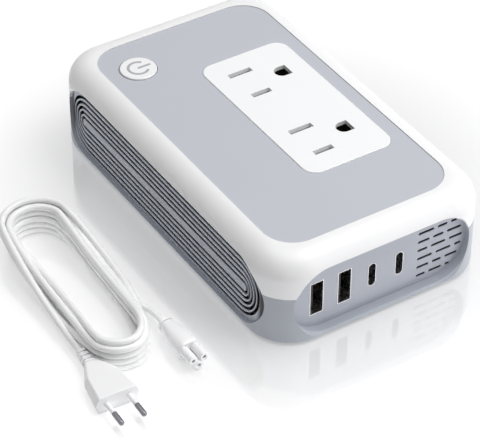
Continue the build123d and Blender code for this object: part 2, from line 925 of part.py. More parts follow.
def make_main_board():
    half_x, half_y = board_width / 2, board_length / 2
    board = box(-half_x, half_x, -half_y, half_y, board_z, board_top)
    for x, y in post_places:
        board -= rod(x, y, board_z - overrun, board_top + overrun, board_screw_radius + fit_gap)
    return board


winding_half = core_middle / 2 + (core_width - core_middle - 2 * core_leg) / 2 - winding_gap
winding_half_y = core_length / 2 - core_leg - winding_gap
core_bottom = board_top + (winding_height - core_height) / 2


def make_transformer_core():
    core = extrude(Rectangle(core_width, core_length), core_height)
    core = Pos(transformer_x, transformer_y, core_bottom) * core
    window_width = (core_width - core_middle - 2 * core_leg) / 2
    for side in signs:
        x = transformer_x + side * (core_middle + window_width) / 2
        window = Rectangle(window_width, core_length - 2 * core_leg)
        core -= Pos(x, transformer_y, core_bottom - overrun / 2) * extrude(window, core_height + overrun)
    return core


def make_transformer_winding():
    winding = box(
        transformer_x - winding_half, transformer_x + winding_half,
        transformer_y - winding_half_y, transformer_y + winding_half_y,
        board_top, board_top + winding_height,
    )
    winding = fillet(winding.edges().filter_by(Axis.Z), winding_round)
    half_leg = core_middle / 2 + winding_gap
    return winding - box(
        transformer_x - half_leg, transformer_x + half_leg, transformer_y - core_length,
        transformer_y + core_length, core_bottom - winding_gap, core_bottom + core_height + winding_gap,
    )


def make_capacitor(side):
    x = capacitor_x + side * capacitor_pitch / 2
    can = rod(x, capacitor_y, board_top, board_top + capacitor_height, capacitor_radius)
    return fillet(can.faces().sort_by(Axis.Z)[-1].edges(), capacitor_round)


def make_inductor_core():
    bottom = board_top + inductor_wire
    top = board_top + inductor_height - inductor_wire
    ring = rod(inductor_x, inductor_y, bottom, top, inductor_radius - inductor_wire)
    return ring - rod(inductor_x, inductor_y, bottom - overrun, top + overrun, inductor_bore + inductor_wire)


# two windings that wrap the ring core, one on each side
def make_inductor_winding(core, side):
    top = board_top + inductor_height
    wrap = rod(inductor_x, inductor_y, board_top, top, inductor_radius)
    wrap -= rod(inductor_x, inductor_y, board_top - overrun, top + overrun, inductor_bore)
    near, far = sorted((side * inductor_split / 2, side * overrun))
    wrap &= box(
        inductor_x - overrun, inductor_x + overrun, inductor_y + near, inductor_y + far, board_top, top
    )
    return wrap - core


def make_heat_sink():
    half_long = sink_length / 2
    top = board_top + sink_height
    sink = box(sink_x, sink_x + sink_web, -half_long, half_long, board_top, top)
    step = (sink_height - sink_fin_thickness) / (sink_fins - 1)
    for i in range(sink_fins):
        low = board_top + i * step
        tip = sink_x + sink_web + sink_fin
        sink += box(sink_x, tip, -half_long, half_long, low, low + sink_fin_thickness)
    return sink


def make_transistor(index):
    y = (index - (transistor_count - 1) / 2) * transistor_pitch
    low = board_top + transistor_lift
    half_wide = transistor_width / 2
    left = sink_x - transistor_thickness
    body = box(left, sink_x, y - half_wide, y + half_wide, low, low + transistor_height)
    middle = left + transistor_thickness / 2
    for leg in (-1, 0, 1):
        leg_y = y + leg * transistor_width / 4
        half_leg = transistor_leg / 2
        body += box(middle - half_leg, middle + half_leg, leg_y - half_leg, leg_y + half_leg, board_top, low)
    return body


fuse_z = board_top + fuse_radius + fuse_clip_wall


def make_fuse():
    half_long = fuse_length / 2
    tube_outline = Circle(fuse_radius - fuse_glass_step)
    glass = bar_y(tube_outline, fuse_x, fuse_z, fuse_y - half_long, fuse_y + half_long)
    for side in signs:
        near, far = sorted((side * half_long, side * (half_long - fuse_cap_length)))
        glass += bar_y(Circle(fuse_radius), fuse_x, fuse_z, fuse_y + near, fuse_y + far)
    return glass


def make_fuse_clip(side):
    half_long = fuse_length / 2
    middle = fuse_y + side * (half_long - fuse_cap_length / 2)
    half_clip = fuse_cap_length / 2 - fuse_clip_wall
    reach = fuse_radius + fuse_clip_wall
    clip = box(
        fuse_x - reach, fuse_x + reach, middle - half_clip, middle + half_clip,
        board_top, fuse_z + fuse_radius / 2,
    )
    clip -= bar_y(Circle(fuse_radius), fuse_x, fuse_z, middle - overrun, middle + overrun)
    half_open = fuse_clip_opening / 2
    return clip - box(
        fuse_x - half_open, fuse_x + half_open, middle - overrun, middle + overrun, fuse_z, body_height
    )


terminal_xs = [terminal_x + i * terminal_pitch for i in (-1, 0, 1)]
terminal_back_y = terminal_y + terminal_depth / 2
terminal_front_y = terminal_y - terminal_depth / 2


def make_terminal_block():
    top = board_top + terminal_height
    block = box(
        terminal_x - terminal_width / 2, terminal_x + terminal_width / 2, terminal_front_y, terminal_back_y,
        board_top, top,
    )
    for x in terminal_xs:
        block -= rod(x, terminal_y, top - terminal_screw_depth, top + overrun, terminal_screw_radius)
    return block


# mains inlet: a three-lobed well round three pins
inlet_front_y = half_length - end_recess + inlet_flange_proud
inlet_back_y = inlet_front_y - inlet_depth
inlet_pin_places = (
    (-inlet_pin_pitch / 2, inlet_pin_z),
    (inlet_pin_pitch / 2, inlet_pin_z),
    (0, inlet_pin_z - inlet_earth_drop),
)


def lobes(radius, y0, y1):
    half_pitch = inlet_pin_pitch / 2
    web = make_face(
        Polyline((-half_pitch, 0), (half_pitch, 0), (0, -inlet_earth_drop), (-half_pitch, 0))
    )
    form = bar_y(web, 0, inlet_pin_z, y0, y1)
    form += bar_y(SlotOverall(inlet_pin_pitch + 2 * radius, 2 * radius), 0, inlet_pin_z, y0, y1)
    return form + bar_y(Circle(radius), 0, inlet_pin_z - inlet_earth_drop, y0, y1)


def make_inlet_body():
    outer = inlet_lobe_radius + inlet_wall
    body = lobes(outer, inlet_back_y, inlet_front_y)
    body += lobes(outer + inlet_flange, inlet_front_y - inlet_flange_proud, inlet_front_y)
    body -= lobes(inlet_lobe_radius, inlet_back_y + inlet_back, inlet_front_y + overrun)
    for x, z in inlet_pin_places:
        body -= bar_y(Circle(inlet_pin_radius), x, z, inlet_back_y - overrun, inlet_front_y)
    return body


def make_rear_panel():
    panel = end_ring(panel_flange, 1) & end_panel_layer(1)
    return panel - lobes(inlet_lobe_radius + inlet_wall + fit_gap, end_cut_y, half_length)


def make_inlet_pin(x, z):
    return bar_y(Circle(inlet_pin_radius), x, z, inlet_back_y - inlet_tail, inlet_back_y + inlet_pin_length)


def wire(points):
    bends = []
    for i in range(1, len(points) - 1):
        before = Vector(*points[i]) - Vector(*points[i - 1])
        after = Vector(*points[i + 1]) - Vector(*points[i])
        shorter = min(before.length, after.length)
        bends.append(min(wire_bend, bend_share * shorter / tan(radians(before.get_angle(after) / 2))))
    path = FilletPolyline(*points, radius=bends)
    return sweep(Plane(origin=path @ 0, z_dir=path % 0) * Circle(wire_radius), path=path)


# from the inlet's tails to the terminal block
def make_inlet_wires():
    start_y = inlet_back_y - inlet_tail
    wires = []
    order = (inlet_pin_places[0], inlet_pin_places[2], inlet_pin_places[1])
    for (x, z), terminal in zip(order, terminal_xs):
        wires.append(wire([
            (x, start_y, z),
            (x, start_y - wire_lead, z),
            (terminal, terminal_back_y + wire_lead, wire_z),
            (terminal, terminal_back_y, wire_z),
        ]))
    return wires


# from the terminal block to the undersides of the three buses
def make_outlet_wires():
    bus_bottom = housing_bottom - bus_thickness
    ends = (
        (bus_line_x, line_y + outlet_pitch / 2 - wire_lead),
        (bus_neutral_x, neutral_y + outlet_pitch / 2 - wire_lead),
        (earth_x, outlet_pitch / 2 - wire_lead),
    )
    wires = []
    for (x, y), terminal in zip(ends, terminal_xs):
        wires.append(wire([
            (terminal, terminal_front_y, wire_z),
            (terminal, terminal_front_y - wire_radius, wire_z),
            (x, y, wire_z),
            (x, y, bus_bottom),
        ]))
    return wires


# mains lead: a hank of loops, a stretch to the connector and a stretch to the plug
cord_radius = cord_diameter / 2
cord_pitch = cord_diameter + cord_gap
hank_place = Pos(hank_x, hank_y, 0) * Rot(0, 0, hank_turn)


def rising_arcs(start, end):
    run = abs(end[1] - start[1])
    rise = end[2] - start[2]
    radius = (run**2 + rise**2) / (4 * rise)
    half = hypot(run, rise) / 2
    quarter_run = radius * sin((half / radius) / 2)
    quarter_rise = radius - sqrt(radius**2 - quarter_run**2)
    way = (end[1] - start[1]) / run
    middle = (start[0], (start[1] + end[1]) / 2, (start[2] + end[2]) / 2)
    low = (start[0], start[1] + way * quarter_run, start[2] + quarter_rise)
    high = (start[0], end[1] - way * quarter_run, end[2] - quarter_rise)
    return [ThreePointArc(start, low, middle), ThreePointArc(middle, high, end)]


def quarter_turn(start, end, corner):
    inward = 1 - 1 / sqrt(2)
    x = corner[0] + inward * (start[0] + end[0] - 2 * corner[0])
    y = corner[1] + inward * (start[1] + end[1] - 2 * corner[1])
    return ThreePointArc(start, (x, y, start[2]), end)


# the right side runs to +Y, the left side back to -Y, and each turn changes rank or stays
def hank_edges():
    far_y = hank_straight / 2
    near_right_y = -hank_straight / 2
    near_left_y = near_right_y + hank_lean
    edges = []
    z = cord_radius
    last = len(hank_ranks) - 1
    for i, rank in enumerate(hank_ranks):
        side = 1 if i % 2 == 0 else -1
        x = side * (hank_outer_radius - rank * cord_pitch)
        start_y, end_y = (near_right_y, far_y) if side > 0 else (far_y, near_left_y)
        if i == 0:
            start_y += hank_entry
        if i == last:
            end_y = far_y - hank_exit
        if i in hank_climbs:
            edges += rising_arcs((x, start_y, z), (x, end_y, z + cord_pitch))
            z += cord_pitch
        else:
            edges.append(Line((x, start_y, z), (x, end_y, z)))
        if i == last:
            break
        next_x = -side * (hank_outer_radius - hank_ranks[i + 1] * cord_pitch)
        if side > 0:
            middle = (x + next_x) / 2
            top = far_y + abs(x - next_x) / 2
            edges.append(ThreePointArc((x, far_y, z), (middle, top, z), (next_x, far_y, z)))
        else:
            left_radius = (abs(x - next_x) + hank_lean) / 2
            low_y = near_left_y - left_radius
            low_x = x + left_radius
            edges.append(quarter_turn((x, near_left_y, z), (low_x, low_y, z), (x, low_y)))
            edges.append(quarter_turn((low_x, low_y, z), (next_x, near_right_y, z), (next_x, low_y)))
    return edges


def make_hank():
    path = Wire(hank_edges())
    return hank_place * sweep(Plane(origin=path @ 0, z_dir=path % 0) * Circle(cord_radius), path=path)


def print_hank_gap():
    points = []
    length = 0
    for edge in hank_edges():
        count = max(2, round(edge.length / sample_step))
        points += [(length + edge.length * k / count, edge @ (k / count)) for k in range(count)]
        length += edge.length
    least = min(
        (p - q).length
        for i, (s, p) in enumerate(points)
        for t, q in points[i + 1:]
        if t - s > 2 * cord_diameter
    )
    print(f"hank length {length:.0f} mm, least gap to itself {least - cord_diameter:.2f} mm")
    return length


def tube(name, points):
    radii = []
    for before, point, after in zip(points, points[1:], points[2:]):
        turn = (point - before).get_angle(after - point)
        shorter = min((point - before).length, (after - point).length)
        radii.append(bend_share * shorter / tan(radians(turn / 2)))
    path = FilletPolyline(*points, radius=radii)
    total = path.length
    solid = sweep(Plane(origin=path @ 0, z_dir=path % 0) * Circle(cord_radius), path=path)
    share = solid.volume / (pi * cord_radius**2 * total)
    rounded = [round(radius, 1) for radius in radii]
    print(f"{name} length {total:.1f} mm, volume share {share:.4f}, bend radii", rounded)
    return solid, total


hank_start = hank_place * Vertex(hank_outer_radius, hank_entry - hank_straight / 2, cord_radius)
hank_layers_up = len(hank_climbs) * cord_pitch
exit_x = -(hank_outer_radius - hank_ranks[-1] * cord_pitch)
hank_end = hank_place * Vertex(exit_x, hank_straight / 2 - hank_exit, cord_radius + hank_layers_up)
hank_way = Vector(sin(radians(hank_turn)), -cos(radians(hank_turn)), 0)
plug_way = Vector(sin(radians(plug_turn)), -cos(radians(plug_turn)), 0)
plug_neck = Vector(plug_neck_x, plug_neck_y, plug_height / 2)
plug_place = Pos(plug_neck) * Rot(0, 0, plug_turn)


def connector_points():
    start = Vector(hank_start)
    end = Vector(connector_x, connector_rear_y, connector_height / 2)
    return [start, start + hank_way * entry_run_length, *[Vector(*p) for p in connector_route], end]


def plug_points():
    start = Vector(hank_end)
    end = plug_neck - plug_way * relief_length
    middle = [Vector(*p) for p in plug_route]
    return [start, start + hank_way * exit_run_length, *middle, end - plug_way * plug_run_length, end]


# plug: six-sided body that widens from its neck, ribbed strain relief, sleeved round pins
def plug_section(width, height, y):
    flat = width / 2 - plug_bevel
    outline = Polyline(
        (-width / 2, 0), (-flat, height / 2), (flat, height / 2),
        (width / 2, 0), (flat, -height / 2), (-flat, -height / 2), (-width / 2, 0),
    )
    return Plane(origin=(0, y, 0), x_dir=(1, 0, 0), z_dir=(0, -1, 0)) * make_face(outline)


def make_plug_body():
    rear = plug_section(plug_neck_width, plug_neck_height, 0)
    shoulder = plug_section(plug_shoulder_width, plug_height, -plug_shoulder_share * plug_length)
    front = plug_section(plug_width, plug_height, -plug_length)
    body = loft([rear, shoulder], ruled=True) + loft([shoulder, front], ruled=True)
    for x in (-plug_pin_pitch / 2, plug_pin_pitch / 2):
        for radius, sink in ((plug_sleeve_radius, plug_sleeve_sink), (plug_pin_core_radius, plug_pin_sink)):
            body -= bar_y(Circle(radius), x, 0, -plug_length - overrun, -plug_length + sink)
    return plug_place * body


def make_relief():
    neck_radius = plug_neck_height / 2
    cone = Rot(-90, 0, 0) * Cone(neck_radius, relief_tip_radius, relief_length)
    cone = Pos(0, relief_length / 2, 0) * cone
    for i in range(relief_ribs):
        middle = relief_rib_pitch * (i + 0.5)
        low = middle - relief_rib_width / 2
        here = neck_radius + (relief_tip_radius - neck_radius) * middle / relief_length
        cone += bar_y(Circle(here + relief_rib_proud), 0, 0, low, low + relief_rib_width)
    return plug_place * cone


def make_plug_pin(x):
    tip = -plug_length - plug_pin_length
    sleeve_end = -plug_length - plug_sleeve_length
    pin = bar_y(Circle(plug_pin_radius), x, 0, tip, sleeve_end)
    pin = fillet(pin.faces().sort_by(Axis.Y)[0].edges(), plug_pin_round)
    pin += bar_y(Circle(plug_pin_core_radius), x, 0, sleeve_end, -plug_length + plug_pin_sink)
    return plug_place * pin


def make_plug_sleeve(x):
    ring = Circle(plug_sleeve_radius) - Circle(plug_pin_core_radius)
    sleeve_end = -plug_length - plug_sleeve_length
    return plug_place * bar_y(ring, x, 0, sleeve_end, -plug_length + plug_sleeve_sink)


# connector: a tapered body with a collar, and three barrels with contacts in them
connector_z = connector_height / 2
connector_front_y = connector_rear_y - connector_length
barrel_places = (
    (connector_x - barrel_pitch / 2, connector_z + barrel_lift),
    (connector_x + barrel_pitch / 2, connector_z + barrel_lift),
    (connector_x, connector_z + barrel_lift - barrel_drop),
)


def connector_section(width, height, y):
    plane = Plane(origin=(connector_x, y, connector_z), x_dir=(1, 0, 0), z_dir=(0, -1, 0))
    return plane * RectangleRounded(width, height, connector_round)


def make_connector_body():
    middle_y = connector_rear_y - connector_middle_share * connector_length
    rear = connector_section(connector_rear_width, connector_rear_height, connector_rear_y)
    middle = connector_section(connector_middle_width, connector_middle_height, middle_y)
    front = connector_section(connector_width, connector_height, connector_front_y)
    body = loft([rear, middle], ruled=True) + loft([middle, front], ruled=True)
    rise = 2 * connector_collar_rise
    collar = RectangleRounded(connector_rear_width + rise, connector_rear_height + rise, connector_round)
    body += bar_y(collar, connector_x, connector_z, connector_rear_y - connector_collar, connector_rear_y)
    seat_back = connector_front_y + barrel_sink
    for x, z in barrel_places:
        body -= bar_y(Circle(barrel_radius), x, z, connector_front_y - overrun, seat_back)
    return body


def make_barrel(x, z):
    tip = connector_front_y - barrel_length
    barrel = bar_y(Circle(barrel_radius), x, z, tip, connector_front_y + barrel_sink)
    return barrel - bar_y(Circle(barrel_bore), x, z, tip - overrun, connector_front_y)


def make_contact(x, z):
    tip = connector_front_y - barrel_length + contact_setback
    ring = Circle(barrel_bore) - Circle(barrel_bore - contact_wall)
    return bar_y(ring, x, z, tip, connector_front_y)


# every piece is written to its own file
casing = make_casing()
save(make_base(casing), "base_shell")
save(make_cover(casing), "top_cover")
save(make_top_panel(), "top_panel")
save(make_socket_plate(), "socket_plate")
save(make_front_panel(), "front_panel")
save(make_rear_panel(), "rear_panel")
save(make_vent_panel(-1), "left_vent_panel")
save(make_vent_panel(1), "right_vent_panel")

save(make_button(), "power_button")
save(group(make_symbol(symbol_depth)), "button_symbol")
save(make_plunger(), "switch_plunger")
save(make_switch(), "button_switch")
save(make_switch_board(), "switch_board")

for name, y in (("rear_outlet", outlet_ys[0]), ("front_outlet", outlet_ys[1])):
    save(make_housing(y), f"{name}_housing")
    save(make_shutter(y), f"{name}_shutter")
save(make_blade_bus(line_y, bus_line_x), "line_bus")
save(make_blade_bus(neutral_y, bus_neutral_x), "neutral_bus")
save(make_earth_bus(), "earth_bus")

for i in (1, 2):
    save(make_usb_a_port(port_xs[i - 1]), f"usb_a_port_{i}")
    save(make_usb_a_tongue(port_xs[i - 1]), f"usb_a_tongue_{i}")
    save(make_usb_c_port(port_xs[i + 1]), f"usb_c_port_{i}")
    save(make_usb_c_tongue(port_xs[i + 1]), f"usb_c_tongue_{i}")
save(make_port_board(), "usb_board")

save(make_fan_frame(), "fan_frame")
save(make_fan_rotor(), "fan_rotor")

save(group([make_case_screw(x, y) for x, y in boss_places]), "case_screws")
save(group([make_board_screw(x, y) for x, y in post_places]), "board_screws")
save(group([make_foot(x, y) for x, y in foot_places]), "rubber_feet")

inductor_core = make_inductor_core()
save(make_main_board(), "main_board")
save(make_transformer_core(), "transformer_core")
save(make_transformer_winding(), "transformer_winding")
save(group([make_capacitor(side) for side in signs]), "capacitors")
save(inductor_core, "inductor_core")
save(group([make_inductor_winding(inductor_core, side) for side in signs]), "inductor_windings")
save(make_heat_sink(), "heat_sink")
save(group([make_transistor(i) for i in range(transistor_count)]), "transistors")
save(make_fuse(), "fuse")
save(group([make_fuse_clip(side) for side in signs]), "fuse_clips")
save(make_terminal_block(), "terminal_block")

save(make_inlet_body(), "ac_inlet_body")
save(group([make_inlet_pin(x, z) for x, z in inlet_pin_places]), "ac_inlet_pins")
save(group(make_inlet_wires()), "inlet_wires")
save(group(make_outlet_wires()), "outlet_wires")

hank_length = print_hank_gap()
save(make_hank(), "lead_hank")
connector_run, connector_run_length = tube("connector run", connector_points())
plug_run, plug_run_total = tube("plug run", plug_points())
save(connector_run, "lead_connector_run")
save(plug_run, "lead_plug_run")
print(f"whole lead {hank_length + connector_run_length + plug_run_total:.0f} mm")

pin_xs = (-plug_pin_pitch / 2, plug_pin_pitch / 2)
save(make_plug_body(), "plug_body")
save(make_relief(), "plug_strain_relief")
save(group([make_plug_pin(x) for x in pin_xs]), "plug_pins")
save(group([make_plug_sleeve(x) for x in pin_xs]), "plug_pin_sleeves")
save(make_connector_body(), "connector_body")
save(group([make_barrel(x, z) for x, z in barrel_places]), "connector_barrels")
save(group([make_contact(x, z) for x, z in barrel_places]), "connector_contacts")
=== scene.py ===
import bpy
import bmesh
import json
from math import cos, pi, radians, sin
from mathutils import Matrix, Vector


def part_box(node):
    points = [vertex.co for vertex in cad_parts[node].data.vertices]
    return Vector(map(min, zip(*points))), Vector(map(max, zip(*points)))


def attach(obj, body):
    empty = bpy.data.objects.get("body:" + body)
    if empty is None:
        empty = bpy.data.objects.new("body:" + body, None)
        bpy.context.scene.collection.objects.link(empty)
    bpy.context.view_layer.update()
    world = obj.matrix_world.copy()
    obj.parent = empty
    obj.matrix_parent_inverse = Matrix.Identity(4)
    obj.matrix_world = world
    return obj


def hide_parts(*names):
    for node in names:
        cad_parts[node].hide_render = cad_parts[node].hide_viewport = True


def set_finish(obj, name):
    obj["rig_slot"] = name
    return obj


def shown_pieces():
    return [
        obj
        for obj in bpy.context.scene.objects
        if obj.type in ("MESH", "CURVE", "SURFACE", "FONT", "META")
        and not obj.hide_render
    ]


# travel voltage converter with its mains lead
# pieces are measured in millimetres, the camera and the studio in metres
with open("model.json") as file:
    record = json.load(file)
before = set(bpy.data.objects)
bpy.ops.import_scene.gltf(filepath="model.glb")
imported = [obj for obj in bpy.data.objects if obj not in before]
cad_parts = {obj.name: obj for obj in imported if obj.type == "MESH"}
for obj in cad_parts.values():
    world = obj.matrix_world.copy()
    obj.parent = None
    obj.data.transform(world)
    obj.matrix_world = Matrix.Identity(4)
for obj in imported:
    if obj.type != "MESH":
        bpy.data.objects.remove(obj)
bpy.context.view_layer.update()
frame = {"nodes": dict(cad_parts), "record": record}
scene = bpy.context.scene
nodes = frame["nodes"]
mm = 0.001
print("model loaded")

# shared by the modelling helpers; facing and flat are how much of a face's normal lies along an axis
meshing = {
    "weld": 0.001,
    "smoothAngle": 35,
    "roundedAngle": 50,
    "cornerSteps": 6,
    "barSides": 40,
    "barAngle": 40,
    "contactAngle": 30,
    "facing": 0.9,
    "flat": 0.99,
}


# helpers for modelling
def deselectAll():
    if bpy.context.mode != "OBJECT":
        bpy.ops.object.mode_set(mode="OBJECT")
    bpy.ops.object.select_all(action="DESELECT")


def pick(piece):
    deselectAll()
    piece.select_set(True)
    bpy.context.view_layer.objects.active = piece


def editPiece(piece):
    pick(piece)
    bpy.ops.object.mode_set(mode="EDIT")


def selectFaces(test):
    data = bpy.context.edit_object.data
    mesh = bmesh.from_edit_mesh(data)
    for face in mesh.faces:
        face.select_set(False)
    for face in mesh.faces:
        if test(face.calc_center_median(), face.normal):
            face.select_set(True)
    bmesh.update_edit_mesh(data)


def selectVerts(test):
    data = bpy.context.edit_object.data
    bpy.ops.mesh.select_mode(type="VERT")
    mesh = bmesh.from_edit_mesh(data)
    for vert in mesh.verts:
        vert.select_set(test(vert.co))
    mesh.select_flush_mode()
    bmesh.update_edit_mesh(data)


def addPiece(name, operator, location=(0, 0, 0), **settings):
    deselectAll()
    operator(location=[value * mm for value in location], **settings)
    piece = bpy.context.object
    piece.name = piece.data.name = name
    return piece


def applyPlace(piece):
    pick(piece)
    bpy.ops.object.transform_apply(location=True, rotation=True, scale=True)


def stretchInPlace(piece, x, z):
    editPiece(piece)
    bpy.ops.mesh.select_all(action="SELECT")
    bpy.ops.transform.resize(value=(x * mm, 1, z * mm), center_override=tuple(piece.location))
    bpy.ops.object.mode_set(mode="OBJECT")
    applyPlace(piece)


# a flat plate across Y with rounded corners, the start of most lofted bodies
def roundedPlate(name, width, height, y, corner):
    plate = addPiece(name, bpy.ops.mesh.primitive_plane_add, (0, y, 0), size=1, rotation=(pi / 2, 0, 0))
    stretchInPlace(plate, width, height)
    editPiece(plate)
    bpy.ops.mesh.select_all(action="SELECT")
    bpy.ops.mesh.bevel(offset=corner * mm, segments=meshing["cornerSteps"], affect="VERTICES")
    bpy.ops.object.mode_set(mode="OBJECT")
    return plate


# the selected ring is carried along Y and scaled about the piece's own axis
def extrudeTo(fromY, toY, scaleX=1.0, scaleZ=1.0):
    bpy.ops.mesh.extrude_region_move(TRANSFORM_OT_translate={"value": (0, (toY - fromY) * mm, 0)})
    bpy.ops.transform.resize(value=(scaleX, 1, scaleZ), center_override=(0, toY * mm, 0))


# a round bar along Y, for pins, barrels and sleeves
def makeBar(name, x, z, front, back, radius, sides=meshing["barSides"]):
    bar = addPiece(
        name, bpy.ops.mesh.primitive_cylinder_add, (x, (front + back) / 2, z),
        vertices=sides, radius=radius * mm, depth=(back - front) * mm, rotation=(pi / 2, 0, 0),
    )
    applyPlace(bar)
    return bar


def roundFront(bar, width, steps):
    editPiece(bar)
    selectFaces(lambda co, normal: normal.y < -meshing["facing"])
    bpy.ops.mesh.bevel(offset=width * mm, segments=steps, affect="EDGES")
    bpy.ops.object.mode_set(mode="OBJECT")


# a blind hole into the bar's flat front
def boreFront(bar, rim, depth):
    editPiece(bar)
    selectFaces(lambda co, normal: normal.y < -meshing["flat"])
    bpy.ops.mesh.inset(thickness=rim * mm)
    bpy.ops.mesh.extrude_region_move(TRANSFORM_OT_translate={"value": (0, depth * mm, 0)})
    bpy.ops.object.mode_set(mode="OBJECT")


def applyModifier(piece, kind, **settings):
    modifier = piece.modifiers.new(kind.lower(), kind)
    for setting, value in settings.items():
        setattr(modifier, setting, value)
    pick(piece)
    bpy.ops.object.modifier_apply(modifier=modifier.name)


def tidyMesh(piece, angle=meshing["smoothAngle"]):
    editPiece(piece)
    bpy.ops.mesh.select_all(action="SELECT")
    bpy.ops.mesh.remove_doubles(threshold=meshing["weld"] * mm)
    bpy.ops.mesh.normals_make_consistent(inside=False)
    bpy.ops.object.mode_set(mode="OBJECT")
    bpy.ops.object.shade_smooth_by_angle(angle=radians(angle))


def roundEdges(piece, width, segments, angle):
    tidyMesh(piece)
    applyModifier(
        piece, "BEVEL", width=width * mm, segments=segments, limit_method="ANGLE", angle_limit=radians(angle)
    )
    pick(piece)
    bpy.ops.object.shade_smooth_by_angle(angle=radians(meshing["roundedAngle"]))


def joinPieces(pieces, name):
    deselectAll()
    for piece in pieces:
        piece.select_set(True)
    bpy.context.view_layer.objects.active = pieces[0]
    if len(pieces) > 1:
        bpy.ops.object.join()
    pieces[0].name = pieces[0].data.name = name
    return pieces[0]


def standOn(piece, place, turn=0.0):
    piece.rotation_euler = (0, 0, radians(turn))
    piece.location = [value * mm for value in place]
    applyPlace(piece)


def finishPiece(piece, body, slot, *stoodFor):
    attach(piece, body)
    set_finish(piece, slot)
    if stoodFor:
        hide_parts(*stoodFor)
    return piece


# camera, matched to the photograph of 480 x 438 pixels
view = {
    "position": (-0.3231, -0.4914, 0.4689),
    "azimuth": -32.55,
    "elevation": 39.15,
    "roll": 0.24,
    "lens": 174.2,
    "sensor": 36.0,
    "nearClip": 0.01,
    "farClip": 20.0,
}


def makeCamera():
    data = bpy.data.cameras.new("camera")
    data.lens = view["lens"]
    data.sensor_width = view["sensor"]
    data.clip_start = view["nearClip"]
    data.clip_end = view["farClip"]
    camera = bpy.data.objects.new("camera", data)
    scene.collection.objects.link(camera)
    aside, down = radians(view["azimuth"]), radians(view["elevation"])
    ahead = Vector((-sin(aside) * cos(down), cos(aside) * cos(down), -sin(down)))
    turn = ahead.to_track_quat("-Z", "Y").to_matrix() @ Matrix.Rotation(radians(view["roll"]), 3, "Z")
    camera.matrix_world = Matrix.Translation(view["position"]) @ turn.to_4x4()
    scene.camera = camera


makeCamera()
print("camera placed")

# mains lead: one cord from the connector through the hank to the plug
lead = {
    "diameter": 2.2,
    "hankPlace": (-75.7, -14.9),
    "hankTurn": -1.7,
    "farY": 29.8,
    "farRadius": 8.8,
    "nearY": -23.3,
    "nearX": -0.6,
    "nearRadius": 9.4,
    "nearRise": 3.6,
    "stations": (-7.0, 15.0),
    # each strand: right run as (x, z) at both stations, far turn as (further out, z),
    # then left run and near turn
    "strands": (
        ((13.9, 1.35), (13.2, 1.2), (0.0, 1.1), (-7.6, 1.1), (-7.3, 1.1), (-2.4, 1.1)),
        ((9.4, 1.1), (9.2, 1.6), (0.0, 3.35), (-9.7, 1.8), (-9.8, 1.1), (0.0, 1.1)),
        ((11.6, 1.95), (11.0, 3.0), (-0.2, 5.6), (-8.2, 3.6), (-8.4, 3.2), (0.0, 3.35)),
        ((9.4, 3.3), (9.2, 4.3), (0.3, 7.85), (-6.7, 5.9), (-6.4, 5.5), (-1.4, 9.6)),
        ((9.3, 5.7), (9.1, 6.6), (0.0, 10.1), (-9.3, 6.6), (-9.0, 5.4), (0.0, 7.85)),
        ((11.5, 4.3), (11.4, 5.0), (2.3, 8.9), (-11.5, 4.3), (-11.5, 2.9), (0.0, 5.6)),
        ((13.8, 3.6), (13.9, 5.6), (2.3, 11.2)),
    ),
    "turnPoints": 8,
    "connectorRoute": ((-61.3, -39.6, 3.5), (-61.3, -34.0, 3.5), (-61.7, -28.0, 1.6)),
    "plugRoute": ((-87.3, 0.5, 7.2), (-87.8, -11.5, 4.8), (-88.4, -22.5, 3.8)),
    "plugRun": 4.5,
    "length": 1130.0,
    "ringSteps": 5,
    "runSteps": 5,
}
plug = {
    "neck": (-88.9, -42.8, 2.95),
    "turn": -2.0,
    "length": 17.4,
    "height": 5.9,
    "frontWidth": 15.0,
    "shoulderWidth": 11.8,
    "shoulderShare": 0.42,
    "neckSize": (4.4, 3.6),
    "sideBevel": 1.3,
    "edgeRound": 0.45,
    "reliefLength": 6.4,
    "reliefTip": 3.1,
    "reliefCorner": 1.3,
    "reliefTipRound": 0.25,
    "grooves": 3,
    "grooveStart": 0.95,
    "groovePitch": 1.9,
    "grooveWidth": 0.75,
    "grooveDepth": 0.55,
    "ribRound": 0.14,
    "pinPitch": 7.4,
    "pinRadius": 0.86,
    "pinLength": 9.6,
    "pinTip": 0.55,
    "pinHidden": 1.0,
    "sleeveLength": 5.6,
    "sleeveRadius": 0.80,
    "sleeveEdge": 0.12,
    "sink": 1.5,
}


def arcPoints(centre, radius, startAngle, steps, height):
    step = pi / steps
    reach = radius / cos(step / 2)
    angles = [radians(startAngle) + step * k + step / 2 for k in range(steps)]
    return [(centre[0] + reach * cos(a), centre[1] + reach * sin(a), height) for a in angles]


# half turn at the near end, whose right half starts further up
def nearTurn(radius, steps, height):
    middle, base = lead["nearX"], lead["nearY"]
    turn = arcPoints((middle, base), radius, 180, steps, height)
    return [
        (x, y + lead["nearRise"] * (1 + (y - base) / radius) if x > middle else y, z) for x, y, z in turn
    ]


# seven strands, stacked at both turns and settled into a lower heap between them
def hankPoints():
    low, high = lead["stations"]
    steps = lead["turnPoints"]
    points = []
    for strand in lead["strands"]:
        (nearX, nearZ), (farX, farZ), (farOut, farTop) = strand[:3]
        points += [(nearX, low, nearZ), (farX, high, farZ)]
        points += arcPoints((0, lead["farY"]), lead["farRadius"] + farOut, 0, steps, farTop)
        if len(strand) == 3:
            break
        (farX, farZ), (nearX, nearZ), (nearOut, nearTop) = strand[3:]
        points += [(farX, high, farZ), (nearX, low, nearZ)]
        points += nearTurn(lead["nearRadius"] + nearOut, steps, nearTop)
    turned = Matrix.Rotation(radians(lead["hankTurn"]), 3, "Z")
    centre = Vector((*lead["hankPlace"], 0))
    return [centre + turned @ Vector(point) for point in points]


def heading(turn):
    return Vector((sin(radians(turn)), -cos(radians(turn)), 0))


